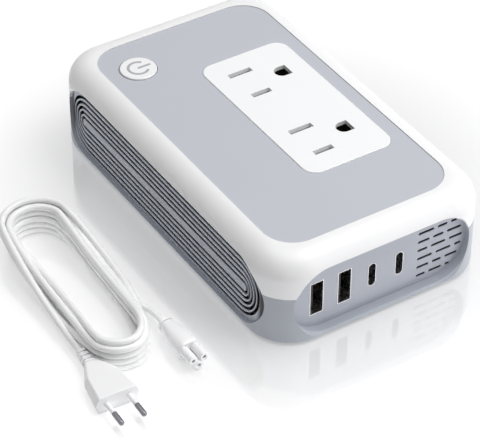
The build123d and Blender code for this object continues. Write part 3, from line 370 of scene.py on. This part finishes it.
def leadPoints():
    route = [Vector(point) for point in lead["connectorRoute"]]
    route += hankPoints()
    route += [Vector(point) for point in lead["plugRoute"]]
    end = Vector(plug["neck"]) - heading(plug["turn"]) * plug["reliefLength"]
    route.append(end - heading(plug["turn"]) * lead["plugRun"])
    route.append(end)
    return [point * mm for point in route]


def makeLead():
    points = leadPoints()
    unitRadius = 1.0  # each point's own radius scales the tube
    curve = bpy.data.curves.new("mains_lead", "CURVE")
    curve.dimensions = "3D"
    curve.bevel_depth = unitRadius
    curve.bevel_resolution = lead["ringSteps"]
    curve.resolution_u = lead["runSteps"]
    curve.use_fill_caps = True
    spline = curve.splines.new("NURBS")
    spline.points.add(len(points) - 1)
    for spot, point in zip(spline.points, points):
        spot.co = (*point, 1)
        spot.radius = lead["diameter"] / 2 * mm
    spline.order_u = 3
    spline.use_endpoint_u = True
    spline.use_smooth = True
    cord = bpy.data.objects.new("mains_lead", curve)
    scene.collection.objects.link(cord)
    return finishPiece(cord, "lead", "cord_white", "lead_hank", "lead_connector_run", "lead_plug_run")


mainsLead = makeLead()
print("mains lead laid")


# plug: six-sided body, ribbed strain relief, two round pins with sleeves
def makePlugBody():
    front, shoulder = -plug["length"], -plug["shoulderShare"] * plug["length"]
    flat = plug["frontWidth"] - 2 * plug["sideBevel"]
    body = addPiece(
        "plug_shell", bpy.ops.mesh.primitive_plane_add, (0, front, 0), size=1, rotation=(pi / 2, 0, 0)
    )
    stretchInPlace(body, flat, plug["height"])
    editPiece(body)
    bpy.ops.mesh.select_all(action="SELECT")
    bpy.ops.mesh.subdivide(number_cuts=1)
    selectVerts(lambda co: abs(co.z) < plug["height"] / 4 * mm)
    bpy.ops.transform.resize(value=(plug["frontWidth"] / flat, 1, 1), center_override=(0, front * mm, 0))
    bpy.ops.mesh.select_all(action="SELECT")
    extrudeTo(front, shoulder, plug["shoulderWidth"] / plug["frontWidth"])
    neckWidth, neckHeight = plug["neckSize"]
    extrudeTo(shoulder, 0, neckWidth / plug["shoulderWidth"], neckHeight / plug["height"])
    roundEdges(body, plug["edgeRound"], segments=4, angle=12)
    return body


def makeRelief():
    width, height = plug["neckSize"]
    long, tip, tipRound = plug["reliefLength"], plug["reliefTip"], plug["reliefTipRound"]
    relief = roundedPlate("plug_relief_sleeve", width, height, 0, plug["reliefCorner"])
    editPiece(relief)
    bpy.ops.mesh.select_all(action="SELECT")
    sections = []
    for i in range(plug["grooves"]):
        middle = plug["grooveStart"] + plug["groovePitch"] * i
        low, high = middle - plug["grooveWidth"] / 2, middle + plug["grooveWidth"] / 2
        sections += [(low, 0), (low, plug["grooveDepth"]), (high, plug["grooveDepth"]), (high, 0)]
    sections += [(long - tipRound, 0), (long, tipRound)]
    before, wide, high = 0, width, height
    for y, depth in sections:
        share = y / long
        newWide = width + (tip - width) * share - 2 * depth
        newHigh = height + (tip - height) * share - 2 * depth
        extrudeTo(before, y, newWide / wide, newHigh / high)
        before, wide, high = y, newWide, newHigh
    roundEdges(relief, plug["ribRound"], segments=2, angle=40)
    return relief


def makePin(x):
    front = -plug["length"] - plug["pinLength"]
    back = -plug["length"] - plug["sleeveLength"] + plug["pinHidden"]
    pin = makeBar("plug_pin", x, 0, front, back, plug["pinRadius"])
    roundFront(pin, plug["pinTip"], steps=5)
    tidyMesh(pin, meshing["barAngle"])
    return pin


def makeSleeve(x):
    front, back = -plug["length"] - plug["sleeveLength"], -plug["length"] + plug["sink"]
    sleeve = makeBar("plug_sleeve", x, 0, front, back, plug["sleeveRadius"])
    roundFront(sleeve, plug["sleeveEdge"], steps=2)
    tidyMesh(sleeve, meshing["barAngle"])
    return sleeve


half = plug["pinPitch"] / 2
plugBody = makePlugBody()
plugRelief = makeRelief()
plugPins = joinPieces([makePin(-half), makePin(half)], "plug_round_pins")
plugSleeves = joinPieces([makeSleeve(-half), makeSleeve(half)], "plug_sleeves")
for piece, slot, node in (
    (plugBody, "plug_white", "plug_body"),
    (plugRelief, "plug_white", "plug_strain_relief"),
    (plugPins, "pin_nickel", "plug_pins"),
    (plugSleeves, "plug_white", "plug_pin_sleeves"),
):
    standOn(piece, plug["neck"], plug["turn"])
    finishPiece(piece, "lead", slot, node)
print("plug modelled")

# connector: tapered body with a collar, three barrels on its front and a contact sleeve in each
connector = {
    "x": -61.3,
    "z": 3.5,
    "front": -53.6,
    "frontSize": (6.8, 5.8),
    "corner": 2.5,
    # y, width and height of each section behind the front: body, taper, groove and collar
    "sections": (
        (-53.25, 7.35, 6.35), (-52.6, 7.7, 6.65), (-51.6, 7.8, 6.7),
        (-49.0, 7.45, 6.45), (-46.4, 6.9, 6.0), (-44.0, 6.0, 5.35), (-42.2, 5.1, 4.85), (-41.1, 4.6, 4.55),
        (-40.75, 4.45, 4.45), (-40.7, 3.9, 3.9), (-40.5, 3.9, 3.9),
        (-40.5, 4.9, 4.9), (-39.75, 4.9, 4.9), (-39.6, 4.6, 4.6),
    ),
    "smoothAngle": 38,
    "barrelRadius": 1.5,
    "barrelLength": 5.6,
    "barrelSink": 1.5,
    "barrelEdge": 0.2,
    "bore": 0.62,
    "boreDepth": 5.5,
    "barrelPlaces": ((-1.9, 0.75), (1.9, 0.75), (0.0, -1.65)),
    "sleeveRadius": 0.58,
    "sleeveSides": 24,
    "sleeveHole": 0.42,
    "sleeveHoleDepth": 1.92,
    "sleeveLength": 2.4,
    "sleeveSetback": 2.6,
}


def makeConnectorBody():
    width, height = connector["frontSize"]
    body = roundedPlate("connector_shell", width, height, connector["front"], connector["corner"])
    editPiece(body)
    bpy.ops.mesh.select_all(action="SELECT")
    before = connector["front"]
    for y, wide, high in connector["sections"]:
        extrudeTo(before, y, wide / width, high / height)
        before, width, height = y, wide, high
    bpy.ops.object.mode_set(mode="OBJECT")
    tidyMesh(body, connector["smoothAngle"])
    return body


def makeBarrel(x, z):
    front = connector["front"] - connector["barrelLength"]
    back = connector["front"] + connector["barrelSink"]
    rim = connector["barrelRadius"] - connector["barrelEdge"] - connector["bore"]
    barrel = makeBar("connector_barrel", x, z, front, back, connector["barrelRadius"])
    roundFront(barrel, connector["barrelEdge"], steps=3)
    boreFront(barrel, rim, connector["boreDepth"])
    tidyMesh(barrel, meshing["barAngle"])
    return barrel


def makeContactSleeve(x, z):
    front = connector["front"] - connector["barrelLength"] + connector["sleeveSetback"]
    back = front + connector["sleeveLength"]
    radius, sides = connector["sleeveRadius"], connector["sleeveSides"]
    sleeve = makeBar("connector_sleeve", x, z, front, back, radius, sides)
    boreFront(sleeve, radius - connector["sleeveHole"], connector["sleeveHoleDepth"])
    tidyMesh(sleeve, meshing["barAngle"])
    return sleeve


places = connector["barrelPlaces"]
connectorBody = makeConnectorBody()
connectorBarrels = joinPieces([makeBarrel(x, z) for x, z in places], "connector_sockets")
connectorSleeves = joinPieces([makeContactSleeve(x, z) for x, z in places], "connector_contact_sleeves")
for piece, slot, node in (
    (connectorBody, "plug_white", "connector_body"),
    (connectorBarrels, "plug_white", "connector_barrels"),
    (connectorSleeves, "contact_brass", "connector_contacts"),
):
    standOn(piece, (connector["x"], 0, connector["z"]))
    finishPiece(piece, "lead", slot, node)
print("connector modelled")

# gilt contacts in the charging ports: strips half sunk in one or both faces of each tongue
contacts = {
    "usb_a": {
        "size": (0.12, 4.6, 1.15), "edge": 0.096, "pitch": 2.4, "count": 4, "setback": 4.2, "faces": 1,
    },
    "usb_c": {
        "size": (0.06, 5.2, 0.24), "edge": 0.048, "pitch": 0.5, "count": 12, "setback": 1.2, "faces": 2,
    },
}


def makeContactRow(port, number, row):
    name = f"{port}_contacts_{number}"
    low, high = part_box(f"{port}_tongue_{number}")
    thick, long, tall = row["size"]
    y = low.y / mm + row["setback"] + long / 2
    strips = []
    for x, side in ((high.x / mm, 1), (low.x / mm, -1))[:row["faces"]]:
        for i in range(row["count"]):
            z = (low.z + high.z) / 2 / mm + (i - (row["count"] - 1) / 2) * row["pitch"]
            strip = addPiece(name, bpy.ops.mesh.primitive_cube_add, (x, y, z), size=1)
            strip.scale = (2 * thick * mm, long * mm, tall * mm)
            applyPlace(strip)
            editPiece(strip)
            selectFaces(lambda co, normal, s=side: normal.x * s > meshing["facing"])
            bpy.ops.mesh.bevel(offset=row["edge"] * mm, segments=2, affect="EDGES")
            bpy.ops.object.mode_set(mode="OBJECT")
            strips.append(strip)
    contactRow = joinPieces(strips, name)
    tidyMesh(contactRow, meshing["contactAngle"])
    finishPiece(contactRow, "case", "contact_brass")


for number in (1, 2):
    for port, row in contacts.items():
        makeContactRow(port, number, row)
print("port contacts modelled")


# materials: every pattern reads Object coordinates; scales are per metre, depths in millimetres
def linear(*shades):
    scaled = [shade / 255 for shade in shades]
    return (*[s / 12.92 if s <= 0.04045 else ((s + 0.055) / 1.055) ** 2.4 for s in scaled], 1)


def addNode(tree, kind, inputs=None, **settings):
    node = tree.nodes.new("ShaderNode" + kind)
    for setting, value in settings.items():
        setattr(node, setting, value)
    for key, value in (inputs or {}).items():
        if isinstance(value, bpy.types.NodeSocket):
            tree.links.new(value, node.inputs[key])
        else:
            node.inputs[key].default_value = value
    return node


def newMaterial(name, **constants):
    material = bpy.data.materials.new(name)
    material.use_nodes = True
    tree = material.node_tree
    shader = tree.nodes["Principled BSDF"]
    for key, value in constants.items():
        shader.inputs[key.replace("_", " ")].default_value = value
    return material, tree, shader


def objectPlace(tree, scale=(1, 1, 1)):
    place = addNode(tree, "TexCoord").outputs["Object"]
    return addNode(tree, "Mapping", {"Vector": place, "Scale": scale}).outputs["Vector"]


def noise(tree, place, scale, detail=3.0, roughness=0.55):
    inputs = {"Vector": place, "Scale": scale, "Detail": detail, "Roughness": roughness}
    return addNode(tree, "TexNoise", inputs).outputs["Fac"]


def ramp(tree, factor, *stops):
    node = addNode(tree, "ValToRGB", {"Fac": factor})
    for element, (position, colour) in zip(node.color_ramp.elements, stops):
        element.position = position
        element.color = colour
    return node.outputs["Color"]


def spread(tree, value, low, high, start=0.35, end=0.65):
    inputs = {"Value": value, "From Min": start, "From Max": end, "To Min": low, "To Max": high}
    return addNode(tree, "MapRange", inputs).outputs["Result"]


def bumpFrom(tree, shader, height, look):
    inputs = {"Height": height, "Distance": look["depth"] * mm, "Strength": look["strength"]}
    tree.links.new(addNode(tree, "Bump", inputs).outputs["Normal"], shader.inputs["Normal"])


def darker(colour, share):
    return (*[value * (1 - share) for value in colour[:3]], 1)


# one colour between a darker shade of itself and its full strength, by a pattern
def shaded(tree, pattern, look, stops=(0.3, 0.7)):
    colour = linear(*look["colour"])
    low, high = stops
    return ramp(tree, pattern, (low, darker(colour, look["patch"])), (high, colour))


# what every plastic, metal and winding starts from, unless its own entry says otherwise
plasticLook = {
    "specular": 0.5, "patchScale": 45, "patch": 0.03, "smudgeScale": 90, "grainScale": 3200, "depth": 0.012,
    "strength": 0.5,
}
metalLook = {"markScale": 1500, "patch": 0.2, "depth": 0.006, "strength": 0.35}
# for a winding, patch is how dark the painted shade in the creases between turns is
windingLook = {"distortion": 0.6, "patch": 0.45, "depth": 0.15, "strength": 0.7}


# handling smudges in the gloss over a fine spark-eroded grain
def mouldedSurface(tree, shader, place, look):
    smudges = noise(tree, place, look["smudgeScale"], detail=4, roughness=0.7)
    tree.links.new(spread(tree, smudges, *look["roughness"]), shader.inputs["Roughness"])
    bumpFrom(tree, shader, noise(tree, place, look["grainScale"], detail=2), look)


# moulded plastic, in faint patches of shade
def plasticFinish(name, values):
    look = {**plasticLook, **values}
    material, tree, shader = newMaterial(name, Specular_IOR_Level=look["specular"])
    place = objectPlace(tree)
    patches = noise(tree, place, look["patchScale"], detail=2)
    tree.links.new(shaded(tree, patches, look), shader.inputs["Base Color"])
    mouldedSurface(tree, shader, place, look)
    return material


# moulded panel with slots or grooves open behind: painted shade darkens the slot walls by depth below its
# face
def slottedWithPaintedShade(name, values):
    look = {**plasticLook, **values}
    material, tree, shader = newMaterial(name)
    place = objectPlace(tree)
    low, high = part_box(look["panel"])
    face = -low["XYZ".index(look["axis"])]
    axes = addNode(tree, "SeparateXYZ", {"Vector": place}).outputs
    reach = addNode(tree, "Math", {0: axes[look["axis"]]}, operation="ABSOLUTE").outputs[0]
    # painted shade: the slot walls turn near black between the first and second depth below the panel's face
    start, end = [face - depth * mm for depth in look["paintedShadeDepths"]]
    hollow = spread(tree, reach, 1.0, 0.0, start, end)
    patches = shaded(tree, noise(tree, place, look["patchScale"], detail=2), look)
    mixed = addNode(tree, "MixRGB", {"Fac": hollow, "Color1": patches, "Color2": linear(*look["hollow"])})
    tree.links.new(mixed.outputs["Color"], shader.inputs["Base Color"])
    mouldedSurface(tree, shader, place, look)
    return material


# plated or turned metal: hair-fine marks along one axis
def metalFinish(name, values):
    look = {**metalLook, **values}
    material, tree, shader = newMaterial(name, Metallic=1.0)
    marks = noise(tree, objectPlace(tree, look["marks"]), look["markScale"], detail=4, roughness=0.6)
    tree.links.new(shaded(tree, marks, look), shader.inputs["Base Color"])
    tree.links.new(spread(tree, marks, *look["roughness"]), shader.inputs["Roughness"])
    bumpFrom(tree, shader, marks, look)
    return material


# lacquered board: copper tracks under green, tinned dots
def boardFinish(name, look):
    material, tree, shader = newMaterial(name, Roughness=look["roughness"])
    place = objectPlace(tree)
    tracks = addNode(
        tree, "TexBrick",
        {
            "Vector": place, "Scale": look["trackScale"], "Mortar Size": look["trackWidth"], "Bias": 0.0,
            "Color1": linear(*look["colour"]), "Color2": linear(*look["second"]),
            "Mortar": linear(*look["track"]),
        },
    ).outputs["Color"]
    dots = addNode(tree, "TexVoronoi", {"Vector": place, "Scale": look["dotScale"]}).outputs["Distance"]
    inside, outside = look["dotEdge"]
    spots = ramp(tree, dots, (inside, (1, 1, 1, 1)), (outside, (0, 0, 0, 1)))
    mixed = addNode(tree, "MixRGB", {"Fac": spots, "Color1": tracks, "Color2": linear(*look["solder"])})
    tree.links.new(mixed.outputs["Color"], shader.inputs["Base Color"])
    tree.links.new(spots, shader.inputs["Metallic"])
    bumpFrom(tree, shader, dots, look)
    return material


# wound wire or tape: rounded turns across the given axis, with a painted shade in the creases between the
# turns
def windingWithPaintedShade(name, values):
    look = {**windingLook, **values}
    material, tree, shader = newMaterial(name, Metallic=look["metallic"], Roughness=look["roughness"])
    inputs = {"Vector": objectPlace(tree), "Scale": look["turnScale"], "Detail": 1}
    inputs["Distortion"] = look["distortion"]
    turns = addNode(tree, "TexWave", inputs, bands_direction=look["axis"], wave_profile="SIN").outputs["Fac"]
    tree.links.new(shaded(tree, turns, look, (0.1, 0.7)), shader.inputs["Base Color"])
    bumpFrom(tree, shader, turns, look)
    return material


# sintered ferrite: coarse matt grain with pale specks
def ferriteFinish(name, look):
    material, tree, shader = newMaterial(name)
    specks = noise(tree, objectPlace(tree), look["speckScale"], detail=3, roughness=0.7)
    few, many = look["speckStops"]
    shade = ramp(tree, specks, (few, linear(*look["colour"])), (many, linear(*look["speck"])))
    tree.links.new(shade, shader.inputs["Base Color"])
    tree.links.new(spread(tree, specks, *look["roughness"]), shader.inputs["Roughness"])
    bumpFrom(tree, shader, specks, look)
    return material


# pale glass tube between two plated caps
def fuseFinish(name, look):
    material, tree, shader = newMaterial(name, Roughness=look["roughness"], IOR=look["index"])
    low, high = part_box("fuse")
    middle, halfLength = (low.y + high.y) / 2, (high.y - low.y) / 2
    axes = addNode(tree, "SeparateXYZ", {"Vector": objectPlace(tree)}).outputs
    offset = addNode(tree, "Math", {0: axes["Y"], 1: middle}, operation="SUBTRACT").outputs[0]
    distance = addNode(tree, "Math", {0: offset}, operation="ABSOLUTE").outputs[0]
    start, end = [halfLength - depth * mm for depth in look["capDepths"]]
    cap = spread(tree, distance, 0, 1, start, end)
    colours = {"Fac": cap, "Color1": linear(*look["glass"]), "Color2": linear(*look["cap"])}
    tree.links.new(addNode(tree, "MixRGB", colours).outputs["Color"], shader.inputs["Base Color"])
    tree.links.new(cap, shader.inputs["Metallic"])
    bumpFrom(tree, shader, noise(tree, objectPlace(tree), look["grainScale"]), look)
    return material


# colours are out of 255; patch says how much darker a finish is where its pattern is darkest
finishes = {
    "cover_white": (plasticFinish, {"colour": (247, 247, 248), "roughness": (0.3, 0.38), "patch": 0.015}),
    "base_grey": (plasticFinish, {"colour": (176, 181, 190), "roughness": (0.34, 0.44)}),
    "panel_grey": (plasticFinish, {"colour": (182, 186, 196), "roughness": (0.38, 0.48)}),
    # vent and front panels: their slots and grooves carry a painted shade, in the near-black colour given
    # below
    "vent_grey": (
        slottedWithPaintedShade,
        {
            "colour": (182, 186, 196), "roughness": (0.38, 0.48), "patch": 0.04, "axis": "X",
            "panel": "left_vent_panel", "paintedShadeDepths": (0.65, 0.25), "hollow": (8, 9, 11),
        },
    ),
    "front_grey": (
        slottedWithPaintedShade,
        {
            "colour": (182, 186, 196), "roughness": (0.38, 0.48), "patch": 0.04, "axis": "Y",
            "panel": "front_panel", "paintedShadeDepths": (0.4, 0.12), "hollow": (12, 13, 15),
        },
    ),
    "inlay_grey": (plasticFinish, {"colour": (192, 195, 203), "roughness": (0.5, 0.6), "patch": 0.015}),
    "socket_white": (plasticFinish, {"colour": (250, 251, 252), "roughness": (0.3, 0.36), "patch": 0.01}),
    "symbol_grey": (plasticFinish, {"colour": (176, 177, 180), "roughness": (0.45, 0.55)}),
    "shutter_grey": (plasticFinish, {"colour": (164, 166, 167), "roughness": (0.42, 0.5)}),
    "housing_black": (plasticFinish, {"colour": (26, 27, 29), "roughness": (0.42, 0.55), "patch": 0.2}),
    "port_steel": (
        metalFinish,
        {"colour": (214, 214, 216), "roughness": (0.16, 0.32), "marks": (8, 0.4, 1)},
    ),
    "port_black": (plasticFinish, {"colour": (30, 32, 35), "roughness": (0.3, 0.42), "patch": 0.2}),
    "contact_brass": (
        metalFinish,
        {"colour": (226, 188, 112), "roughness": (0.18, 0.34), "marks": (6, 1, 6)},
    ),
    "pin_nickel": (
        metalFinish,
        {"colour": (128, 128, 133), "roughness": (0.16, 0.28), "marks": (6, 0.5, 6)},
    ),
    "board_green": (
        boardFinish,
        {
            "colour": (18, 92, 58), "second": (16, 84, 52), "track": (34, 124, 80),
            "solder": (200, 202, 204), "roughness": 0.32, "trackScale": 300, "trackWidth": 0.09,
            "dotScale": 330, "dotEdge": (0.16, 0.2), "depth": 0.03, "strength": 0.4,
        },
    ),
    "ferrite": (
        ferriteFinish,
        {
            "colour": (46, 46, 50), "speck": (92, 92, 98), "speckScale": 2600, "speckStops": (0.45, 0.75),
            "roughness": (0.55, 0.8), "depth": 0.05, "strength": 0.6,
        },
    ),
    "winding_yellow": (
        windingWithPaintedShade,
        {"colour": (226, 186, 60), "metallic": 0.0, "roughness": 0.4, "turnScale": 220, "axis": "Z"},
    ),
    "can_black": (plasticFinish, {"colour": (30, 33, 44), "roughness": (0.22, 0.34), "patch": 0.25}),
    "copper_wire": (
        windingWithPaintedShade,
        {"colour": (196, 108, 62), "metallic": 1.0, "roughness": 0.28, "turnScale": 300, "axis": "DIAGONAL"},
    ),
    "sink_aluminium": (
        metalFinish,
        {"colour": (196, 198, 202), "roughness": (0.3, 0.48), "marks": (1, 14, 1)},
    ),
    "fuse_glass": (
        fuseFinish,
        {
            "glass": (206, 214, 214), "cap": (206, 206, 208), "roughness": 0.06, "index": 1.45,
            "capDepths": (3.05, 2.95), "grainScale": 1400, "depth": 0.01, "strength": 0.3,
        },
    ),
    "terminal_green": (plasticFinish, {"colour": (52, 130, 82), "roughness": (0.36, 0.5), "patch": 0.1}),
    "fan_black": (plasticFinish, {"colour": (28, 29, 31), "roughness": (0.38, 0.5), "patch": 0.2}),
    "foot_rubber": (
        plasticFinish,
        {"colour": (58, 59, 62), "roughness": (0.7, 0.85), "depth": 0.03, "patch": 0.2, "specular": 0.3},
    ),
    "screw_steel": (
        metalFinish,
        {"colour": (176, 177, 181), "roughness": (0.22, 0.38), "marks": (1, 1, 1)},
    ),
    "wire_sheath": (plasticFinish, {"colour": (206, 88, 52), "roughness": (0.4, 0.5)}),
    "cord_white": (
        plasticFinish,
        {
            "colour": (250, 250, 250), "roughness": (0.26, 0.36), "patch": 0.02, "grainScale": 1400,
            "depth": 0.02,
        },
    ),
    "plug_white": (
        plasticFinish,
        {"colour": (250, 250, 251), "roughness": (0.3, 0.4), "patch": 0.02, "grainScale": 2400},
    ),
}
materials = {slot: build(slot, look) for slot, (build, look) in finishes.items()}
finishOf = {part["node"]: part["material_slot"] for part in frame["record"]["subparts"]}
finishOf["left_vent_panel"] = finishOf["right_vent_panel"] = "vent_grey"
finishOf["front_panel"] = "front_grey"
for name, piece in nodes.items():
    for holder in piece.material_slots:
        holder.material = materials[finishOf[name]]
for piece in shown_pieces():
    if piece.name not in nodes:
        piece.data.materials.clear()
        piece.data.materials.append(materials[piece["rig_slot"]])
print("materials assigned")

# floor: pale and glossy; the camera sees it grey under the part and lifted to white further off by a
# camera-only glow, so a painted shade lies around the part
floor = {
    "size": 8.0,
    "colour": (250, 250, 251),
    "patchScale": 3.0,
    "patch": 0.01,
    "roughness": 0.06,
    "index": 2.4,
    "seen": (174, 174, 175),
    "cameraGlow": (0.34, 0.8),
    "paintedShadeReach": (0.06, 0.16),
}
# lamps: a broad one overhead, smaller ones to the right and in front, a faint one shining up off the table
studio = {
    "ambient": 0.04,
    "aims": {"part": (-0.02, 0.0, 0.0), "up": (-0.02, 0.0, 1.0)},
    # name, size across, place, aim, power in watts
    "lamps": (
        ("overhead_softbox", 1.2, (0.1, -0.05, 1.0), "part", 8.5),
        ("side_softbox", 0.5, (0.45, -0.2, 0.85), "part", 2.9),
        ("front_softbox", 0.5, (0.55, -0.6, 0.3), "part", 1.8),
        ("table_bounce", 0.34, (-0.02, 0.0, 0.0003), "up", 0.1),
    ),
}


def makeFloor():
    sheet = addPiece("studio_floor", bpy.ops.mesh.primitive_plane_add, size=floor["size"])
    material, tree, shader = newMaterial("studio_floor", Roughness=floor["roughness"], IOR=floor["index"])
    place = objectPlace(tree)
    pale = shaded(tree, noise(tree, place, floor["patchScale"], detail=2), floor)
    seen = addNode(tree, "LightPath").outputs["Is Camera Ray"]
    shades = {"Fac": seen, "Color1": pale, "Color2": linear(*floor["seen"])}
    tree.links.new(addNode(tree, "MixRGB", shades).outputs["Color"], shader.inputs["Base Color"])
    # painted shade around the part: the camera-only glow is weaker near the part and rises to full strength
    # further off
    away = addNode(tree, "VectorMath", {0: place}, operation="LENGTH").outputs["Value"]
    rise = spread(tree, away, *floor["cameraGlow"], *floor["paintedShadeReach"])
    cameraGlow = addNode(tree, "Math", {0: seen, 1: rise}, operation="MULTIPLY").outputs[0]
    shader.inputs["Emission Color"].default_value = (1, 1, 1, 1)
    tree.links.new(cameraGlow, shader.inputs["Emission Strength"])
    sheet.data.materials.append(material)


def makeLamp(name, size, place, aim, power):
    data = bpy.data.lights.new(name, "AREA")
    data.size = size
    data.energy = power
    lamp = bpy.data.objects.new(name, data)
    scene.collection.objects.link(lamp)
    ahead = (Vector(studio["aims"][aim]) - Vector(place)).to_track_quat("-Z", "Y")
    lamp.matrix_world = Matrix.Translation(place) @ ahead.to_matrix().to_4x4()


# a pale surround for the camera and for mirror images, a faint one for everything else
def makeSurround():
    world = bpy.data.worlds.new("studio_surround")
    scene.world = world
    world.use_nodes = True
    tree = world.node_tree
    rays = addNode(tree, "LightPath").outputs
    mirrored = addNode(
        tree, "Math", {0: rays["Is Glossy Ray"], 1: rays["Is Transmission Ray"]}, operation="MAXIMUM"
    ).outputs[0]
    seen = addNode(tree, "Math", {0: rays["Is Camera Ray"], 1: mirrored}, operation="MAXIMUM").outputs[0]
    strength = spread(tree, seen, studio["ambient"], 1.0, 0, 1)
    background = tree.nodes["Background"]
    background.inputs["Color"].default_value = (1, 1, 1, 1)
    tree.links.new(strength, background.inputs["Strength"])


makeFloor()
for name, size, place, aim, power in studio["lamps"]:
    makeLamp(name, size, place, aim, power)
makeSurround()
scene.view_settings.view_transform = "Standard"
print("studio lit")
